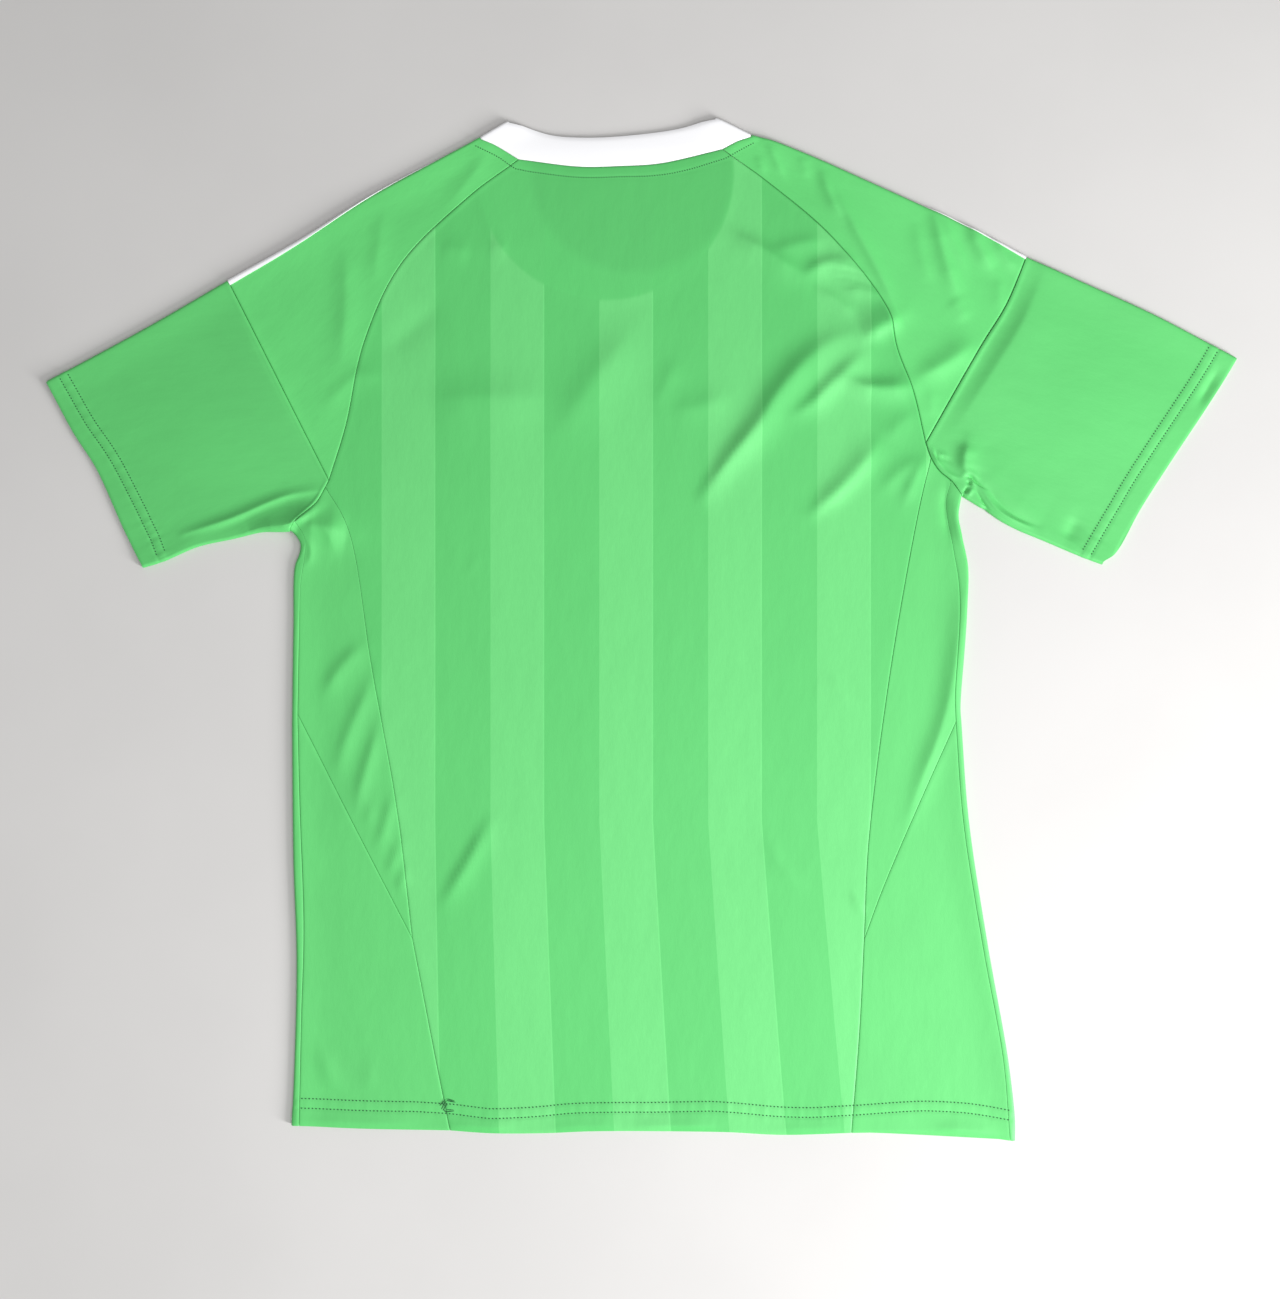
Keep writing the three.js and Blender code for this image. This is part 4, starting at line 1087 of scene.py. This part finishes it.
class JERSEY_OT_front(bpy.types.Operator):
    """Front panel: the lower layer, which wraps over both side edges below the armpits"""

    bl_idname = "jersey.front"
    bl_label = "Front"

    def execute(self, context):
        armpit = ROWS["raglan"] + sum(ARMHOLE_STEPS)
        boundary = {
            side: chain(LINES[side]["front_raglan"], armhole_of(side), EDGES[side]["body"][0]) for side in HALVES
        }
        ends = (boundary["left"][-1], *BACK_HEM, boundary["right"][-1])
        plan = patch(
            boundary["left"], boundary["right"], cut(FRONT_NECK, COLUMNS["front"]), cut(ends, COLUMNS["front"])
        )
        flat = raised(plan, 0.0)
        wraps = {}
        for side in HALVES:
            seam = chain(LINES[side]["wrap"], LINES[side]["wrap_lower"])
            start, out = EDGES[side]["body"]
            height = top_of(start)
            steps = (0.0, 0.12, 0.3, 0.65)
            top = np.stack([seam + (start - seam) * share for share in steps], axis=1)
            inset = (seam - start) / np.linalg.norm(seam - start, axis=1)[:, None] * -SEAM_HALF_GAP
            top[:, 0] += inset
            drawn_in = chain(sewn(side, "wrap"), sewn(side, "wrap_lower"))[:, None] * np.array([1.0, 0.4, 0.06, 0.0])
            over = hem_relief(HEM_LINE, top, "hem") - SEAM_DEPTH * drawn_in
            strip = raised(top, top_of(top) + over)
            first = raised(start, height)[:, None]
            wraps[side] = np.concatenate([strip, first, turns(start, out, height)], axis=1)
        width = wraps["left"].shape[1]
        blank = np.full((armpit, width, 3), np.nan)
        left = np.concatenate([blank, wraps["left"]])
        right = np.concatenate([blank, wraps["right"]])[:, ::-1]
        grid = np.concatenate([left, flat, right], axis=1)
        depth = np.zeros(grid.shape[:2])
        depth[armpit:, 0] = chain(sewn("left", "wrap"), sewn("left", "wrap_lower"))
        depth[armpit:, -1] = chain(sewn("right", "wrap"), sewn("right", "wrap_lower"))
        last = width + COLUMNS["front"]
        made = cloth(
            "front_panel", grid, green_of("front"), depth, rolled=True,
            left_out=lambda i, j: i < armpit and (j < width or j >= last),
        )
        settle(made, "front_body")
        return {"FINISHED"}


class JERSEY_OT_sides(bpy.types.Operator):
    """Upper and lower side panels between the back and the wrapped edge of the front"""

    bl_idname = "jersey.sides"
    bl_label = "Side panels"

    def execute(self, context):
        for side in HALVES:
            lines = LINES[side]
            first, last = ARMHOLE_STEPS[0], sum(ARMHOLE_STEPS[:3])
            top = lines["armhole"][first: last + 1][::-1]
            plan = patch(lines["wrap"], lines["side"], resampled(top, COLUMNS["side"]), lines["diagonal"])
            depths = {"left": "wrap", "right": "side", "bottom": "diagonal"}
            depths = {edge: sewn(side, name) for edge, name in depths.items()}
            plan, depth = with_tucks(plan, {**depths, "top": SEAMS[side]["armhole"][0]})
            made = cloth(f"side_upper_panel_{side}", surface(plan, depth), green_of("side"), depth, pattern=plan * MM)
            settle(made, f"side_upper_{side}")

            plan = patch(lines["wrap_lower"], lines["side_lower"], lines["diagonal"], lines["hem"])
            depths = {"left": "wrap_lower", "right": "side_lower", "top": "diagonal"}
            plan, depth = with_tucks(plan, {edge: sewn(side, name) for edge, name in depths.items()})
            made = cloth(
                f"side_lower_panel_{side}", surface(plan, depth, at_hem=True), green_of("side"), depth,
                pattern=plan * MM,
            )
            settle(made, f"side_lower_{side}")
        return {"FINISHED"}


class JERSEY_OT_raglans(bpy.types.Operator):
    """Raglan shoulders, folded over the shoulder from the back seam to the front seam"""

    bl_idname = "jersey.raglans"
    bl_label = "Raglan shoulders"

    def execute(self, context):
        for side in HALVES:
            lines = LINES[side]
            start, out = EDGES[side]["raglan"]
            columns = COLUMNS["sleeve_seam"]
            neck = resampled(ended(lines["neck_end"], last=start[0]), columns)
            front_neck = ended(lines["front_neck_end"], first=start[0])
            sleeve_end = ended(lines["sleeve_seam"], first=start[-1])
            low_end = sleeve_end[:: columns // COLUMNS["neck_end"]]
            joint = sewn(side, "sleeve_seam")
            above, depth = with_tucks(
                patch(lines["raglan"], start, neck, sleeve_end[::-1]),
                {"left": sewn(side, "raglan"), "top": NECK_SEAM, "bottom": joint[::-1]},
            )
            below, low_depth = with_tucks(
                patch(start, lines["front_raglan"], front_neck, low_end), {"right": 1, "top": 1, "bottom": 1}
            )
            edge = above[:, -1]
            face = outwards(edge, MIDDLE)
            face = np.where(np.isfinite(face), face, out[0])
            top = surface(above, depth, near_neck=True)
            turned = turns(edge, face, top[:, -1, 2])
            low = raised(below, LOW_SEAM_DEPTH * low_depth)
            low[:, 0, :2] = edge
            grid = np.concatenate([top, turned, low], axis=1)
            middle = np.repeat(depth[:, -1:], turned.shape[1], axis=1)
            # the shoulder panels' green carries painted sheen
            made = cloth(
                f"raglan_panel_{side}", grid, green_of(f"shoulder_{side}", tone=SHOULDER_PAINTED_SHEEN),
                np.concatenate([depth, middle, low_depth], axis=1), rolled=True,
            )
            settle(made, f"raglan_{side}")
        return {"FINISHED"}


class JERSEY_OT_sleeves(bpy.types.Operator):
    """Sleeves: flattened tubes from the sleeve seam and the armhole to the cuff"""

    bl_idname = "jersey.sleeves"
    bl_label = "Sleeves"

    def execute(self, context):
        for side in HALVES:
            lines = LINES[side]
            (fold, fold_out), (under, under_out) = EDGES[side]["sleeve"], EDGES[side]["underarm"]
            inner = chain(ended(lines["sleeve_seam"], first=fold[0]), armhole_of(side))
            low_inner = np.vstack([inner[: COLUMNS["sleeve_seam"]: 5], inner[COLUMNS["sleeve_seam"]:: 2]])
            layers = []
            for end in (inner, low_inner):
                cuff = ended(cut_at(HALVES[side]["cuff"], shares(end)), fold[-1], under[-1])
                seam = chain(sewn(side, "sleeve_seam"), sewn(side, "armhole")) if end is inner else 1
                layers.append(with_tucks(patch(fold, under, end, cuff), {"top": seam}))
            (above, depth), (below, low_depth) = layers
            top = surface(above, depth)
            top[..., 2] += hem_relief(CUFFS[side], above, f"cuff_{side}")
            extra = len(above) - len(fold_out)
            fold_out = np.vstack([np.repeat(fold_out[:1], extra, axis=0), fold_out])
            under_out = np.vstack([np.repeat(under_out[:1], extra, axis=0), under_out])
            low = raised(below, LOW_SEAM_DEPTH * low_depth)
            low[:, 0, :2], low[:, -1, :2] = above[:, 0], above[:, -1]
            under_turn = turns(above[:, -1], under_out, top[:, -1, 2])
            fold_turn = turns(above[:, 0], fold_out, top[:, 0, 2])[:, ::-1]
            grid = np.concatenate([top, under_turn, low[:, ::-1], fold_turn], axis=1)
            turn_depth = np.repeat(depth[:, -1:], under_turn.shape[1], axis=1)
            made = cloth(
                f"sleeve_tube_{side}", grid, green_of(f"sleeve_{side}"),
                np.concatenate([depth, turn_depth, low_depth[:, ::-1], turn_depth], axis=1), ring=True, rolled=True,
            )
            settle(made, f"sleeve_{side}")
        return {"FINISHED"}


class JERSEY_OT_collar(bpy.types.Operator):
    """Flat white neck band, a ring with its back part on the top layer and its front part on the lower one"""

    bl_idname = "jersey.collar"
    bl_label = "Neck band"

    def execute(self, context):
        starts = {side: EDGES[side]["collar"][0][::-1] for side in HALVES}
        outs = {side: EDGES[side]["collar"][1][::-1] for side in HALVES}

        def band(middle, ends, free_edge):
            left, right = (LINES[side][ends] for side in ("left", "right"))
            if ends == "neck_end":
                left = left[::-1]
            else:
                right = right[::-1]
            seam = ended(chain(left, middle, right), starts["left"][0], starts["right"][0])
            free = ended(cut_at(free_edge, shares(seam)), starts["left"][-1], starts["right"][-1])
            return with_tucks(patch(starts["left"], starts["right"], seam, free), {"top": NECK_SEAM})

        above, depth = band(cut(BACK_NECK, 90), "neck_end", COLLAR_TOP)
        below, low_depth = band(cut(FRONT_NECK, 90), "front_neck_end", FRONT_COLLAR_TOP)
        across = np.linspace(0, 1, len(above))[:, None]
        crown = 0.5 * np.sin(math.pi * across) ** 0.6 - 0.5 * np.exp(-(((1 - across) / 0.05) ** 2))
        top = raised(above, top_of(above) + crown - SEAM_DEPTH * depth)
        extra = len(above) - len(outs["left"])
        outs = {side: np.vstack([np.repeat(out[:1], extra, axis=0), out]) for side, out in outs.items()}
        low = raised(below, LOW_SEAM_DEPTH * low_depth)
        low[:, 0, :2], low[:, -1, :2] = above[:, 0], above[:, -1]
        right_turn = turns(above[:, -1], outs["right"], top[:, -1, 2])
        left_turn = turns(above[:, 0], outs["left"], top[:, 0, 2])[:, ::-1]
        grid = np.concatenate([top, right_turn, low[:, ::-1], left_turn], axis=1)
        turn_depth = np.repeat(depth[:, -1:], right_turn.shape[1], axis=1)
        made = cloth(
            "neck_band", grid, white_of("White band"),
            np.concatenate([depth, turn_depth, low_depth[:, ::-1], turn_depth], axis=1), ring=True, rolled=True,
        )
        settle(made, "collar")
        return {"FINISHED"}


class JERSEY_OT_facing(bpy.types.Operator):
    """Half-moon facing inside the back neck"""

    bl_idname = "jersey.facing"
    bl_label = "Neck facing"

    def execute(self, context):
        columns = COLUMNS["facing"]
        angles = np.radians(np.linspace(FACING["from"], FACING["to"], columns + 1))
        arc = np.column_stack([
            FACING["x"] + FACING["half_width"] * np.cos(angles), FACING["y"] + FACING["depth"] * np.sin(angles)
        ])
        neck = cut(BACK_NECK, columns) - np.array([0, FACING["inset"]])
        neck[0, 0] += FACING["inset"]
        neck[-1, 0] -= FACING["inset"]
        left, right = (np.linspace(neck[k], arc[k], ROWS["facing"] + 1) for k in (0, -1))
        plan = patch(left, right, neck, arc)
        grid = raised(plan, TOP_LAYER + FACING["cloth"])
        made = cloth("neck_half_moon", grid, green_of("facing", tone=0.9), pattern=plan * MM, wall=FACING["cloth"] - 0.05)
        settle(made, "neck_facing")
        return {"FINISHED"}


class JERSEY_OT_tapes(bpy.types.Operator):
    """One plain white strip over each shoulder fold"""

    bl_idname = "jersey.tapes"
    bl_label = "Shoulder tapes"

    def execute(self, context):
        for side, tape in TAPES.items():
            start, out = EDGES[side]["raglan"]
            begin = round(tape["from"] * ROWS["raglan"])
            start, out = start[begin:], out[begin:]
            inner_edge = np.interp(
                np.linspace(0, 1, len(start)), np.linspace(0, 1, len(tape["shown"])), tape["shown"]
            )
            across = np.linspace(0, 1, TAPE["steps"] + 1)[None]
            place = -inner_edge[:, None] * (1 - across) + TAPE["under"] * across
            radius = (top_of(start) / 2)[:, None]
            off = TAPE["gap"] + TAPE["cloth"]
            angle = np.maximum(place, 0) / radius
            reach = np.minimum(place, 0) + (radius + off) * np.sin(angle)
            plan = start[:, None] + out[:, None] * reach[..., None]
            flat = start[:, None] + out[:, None] * np.minimum(place, 0)[..., None]
            grid = raised(plan, top_of(flat) - radius + off + (radius + off) * (np.cos(angle) - 1) + radius)
            white = white_of("White tape", ribs=False)
            strip, (_, length), _ = cloth(f"shoulder_strip_{side}", grid, white, rolled=True, wall=TAPE["cloth"])
            shown = float((TAPE["under"] + inner_edge).mean()) * MM * length
            made = strip, (TAPE["widest"], length), shown
            settle(made, f"shoulder_tape_{side}")
        return {"FINISHED"}


def stitch_row(path, pitch, length, offset=0.0, **_):
    """Both ends of each stitch along a path of x, y points."""
    along = shares(path) * length_of(path)
    middles = np.arange(offset + pitch / 2, along[-1] - length / 2, pitch)
    ends = [
        np.column_stack([np.interp(middles + side * length / 2, along, path[:, k]) for k in (0, 1)])
        for side in (-1, 1)
    ]
    return np.stack(ends, axis=1)


def parallel(line, distances, towards, more=0.0):
    """A line at given distances from another, on the side of a point."""
    square = -outwards(line, np.array(towards, float))
    return line + square * (np.interp(shares(line), *zip(*distances)) + more)[:, None]


def stitches(name, rows, height_of, material, width, **_):
    """Joins many short rounded stitches, each lying on the cloth."""
    ends = np.concatenate(rows)
    z = height_of(ends)
    bm = bmesh.new()
    for (a, b), (za, zb) in zip(ends, z):
        start, end = Vector((*a, za)) * MM, Vector((*b, zb)) * MM
        along = end - start
        turn = along.to_track_quat("X", "Z").to_matrix().to_4x4()
        size = Matrix.Diagonal((along.length / 2, width * MM / 2, STITCH_HEIGHT * MM / 2, 1))
        place = Matrix.Translation((start + end) / 2 + Vector((0, 0, STITCH_HEIGHT * MM * 0.25))) @ turn @ size
        bmesh.ops.create_uvsphere(bm, u_segments=6, v_segments=4, radius=1, matrix=place)
    piece = new_piece(name, bm, material)
    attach(piece, "root")
    return piece


class JERSEY_OT_stitches(bpy.types.Operator):
    """Coverstitched hem and cuffs, the neck topstitching and the bar tack on the left side seam"""

    bl_idname = "jersey.stitches"
    bl_label = "Stitches"

    def execute(self, context):
        thread = cloth_material("Thread", lambda: thread_finish(context.scene.jersey_cloth.thread))

        def hem_rows(name, edge, hem, towards, kind):
            first, apart = HEMS[hem]["first"], HEMS[hem]["apart"]
            rows = [stitch_row(parallel(edge, first, towards, more)[1:-1], **kind) for more in (0, apart)]
            stitches(name, rows, lambda p: top_of(p) + hem_relief(edge, p, hem), thread, **kind)

        hem_rows("hem_stitches", HEM_LINE, "hem", (0, 100), STITCHES["hem"])
        for side in HALVES:
            middle = np.mean(CUFFS[side], axis=0) + (120 if side == "left" else -120, 40)
            hem_rows(f"cuff_stitches_{side}", CUFFS[side], f"cuff_{side}", middle, STITCHES["cuff"])

        kind = STITCHES["neck"]
        neck = stitch_row(parallel(NECK_LINE, NECK_STITCH, (-20, 0)), **kind)
        stitches("neck_stitches", [neck], lambda p: top_of(p) + neck_relief(p), thread, **kind)

        tack = [np.array([[(x0, y0), (x1, y1)]]) for x0, y0, x1, y1 in BAR_TACK]
        stitches("bar_tack", tack, lambda p: top_of(p) + 0.3, thread, **STITCHES["tack"])
        return {"FINISHED"}


class JERSEY_OT_stage(bpy.types.Operator):
    """Plain pale floor, soft light from the right and above, and the camera straight above"""

    bl_idname = "jersey.stage"
    bl_label = "Stage"

    def execute(self, context):
        props = context.scene.jersey_stage
        bm = bmesh.new()
        bmesh.ops.create_grid(bm, x_segments=2, y_segments=2, size=4)
        floor_finish = Finish("Floor")
        place = floor_finish.node("ShaderNodeTexCoord").outputs["Object"]
        cloudy = noise(floor_finish, place, 5, detail=4.0)
        floor_finish.feed(
            "Base Color",
            floor_finish.mix(cloudy.step(0.3, 0.7), opaque(props.floor, 0.98), opaque(props.floor, 1.02)),
        )
        floor_finish.feed("Roughness", 0.75 + cloudy * 0.1)
        floor = new_piece("floor", bm, floor_finish.material)
        floor.location.z = 0

        def area(name, place, target, size, power):
            light = bpy.data.lights.new(name, "AREA")
            light.shape = "RECTANGLE"
            light.size, light.size_y = size
            light.energy = power
            lamp = bpy.data.objects.new(name, light)
            lamp.location = place
            lamp.rotation_euler = (Vector(target) - Vector(place)).to_track_quat("-Z", "Y").to_euler()
            context.scene.collection.objects.link(lamp)

        area("Key light", (1.65, -1.05, 0.82), (0, 0, 0), (0.5, 0.9), props.key)
        area("Fill light", (0.45, -0.5, 1.7), (0.1, 0, 0), (1.5, 1.5), props.fill)

        context.scene.view_settings.view_transform = "Standard"
        world = bpy.data.worlds.new("Surroundings")
        world.use_nodes = True
        background = world.node_tree.nodes["Background"]
        background.inputs[0].default_value = (1, 1, 1, 1)
        background.inputs[1].default_value = props.world
        context.scene.world = world

        camera = bpy.data.cameras.new("Camera")
        camera.lens = props.lens
        camera.sensor_fit = "VERTICAL"
        camera.sensor_height = 36
        view = bpy.data.objects.new("Camera", camera)
        frame_height = 1299 * PIXEL
        view.location = (
            (1280 / 2 - CENTRE_PIXEL[0]) * PIXEL,
            (CENTRE_PIXEL[1] - 1299 / 2) * PIXEL,
            frame_height * props.lens / camera.sensor_height,
        )
        context.scene.collection.objects.link(view)
        context.scene.camera = view
        return {"FINISHED"}


PIXEL = 0.75 * MM  # real size of one pixel of the 1280 by 1299 frame on the cloth
CENTRE_PIXEL = (641.5, 628)  # the garment's origin in that frame


class JERSEY_PT_panel(bpy.types.Panel):
    """Sizes, colours and pieces of the jersey"""

    bl_idname = "JERSEY_PT_panel"
    bl_label = "Jersey"
    bl_space_type = "VIEW_3D"
    bl_region_type = "UI"
    bl_category = "Jersey"

    def draw(self, context):
        for group in (context.scene.jersey_cloth, context.scene.jersey_stage):
            for name in group.__annotations__:
                self.layout.prop(group, name)
        for operator in OPERATORS:
            self.layout.operator(operator.bl_idname)


OPERATORS = (
    JERSEY_OT_stage,
    JERSEY_OT_stitches,
    JERSEY_OT_front,
    JERSEY_OT_facing,
    JERSEY_OT_back,
    JERSEY_OT_sides,
    JERSEY_OT_raglans,
    JERSEY_OT_sleeves,
    JERSEY_OT_collar,
    JERSEY_OT_tapes,
)
CLASSES = (JERSEY_PG_cloth, JERSEY_PG_stage, *OPERATORS, JERSEY_PT_panel)


def register():
    for cls in CLASSES:
        bpy.utils.register_class(cls)
    bpy.types.Scene.jersey_cloth = bpy.props.PointerProperty(type=JERSEY_PG_cloth)
    bpy.types.Scene.jersey_stage = bpy.props.PointerProperty(type=JERSEY_PG_stage)


def unregister():
    del bpy.types.Scene.jersey_cloth
    del bpy.types.Scene.jersey_stage
    for cls in reversed(CLASSES):
        bpy.utils.unregister_class(cls)


def main():
    register()
    bpy.ops.jersey.stage()
    bpy.ops.jersey.stitches()  # first
    bpy.ops.jersey.front()
    bpy.ops.jersey.facing()
    bpy.ops.jersey.back()
    bpy.ops.jersey.sides()
    bpy.ops.jersey.raglans()
    bpy.ops.jersey.sleeves()
    bpy.ops.jersey.collar()
    bpy.ops.jersey.tapes()


if __name__ == "__main__":
    main()
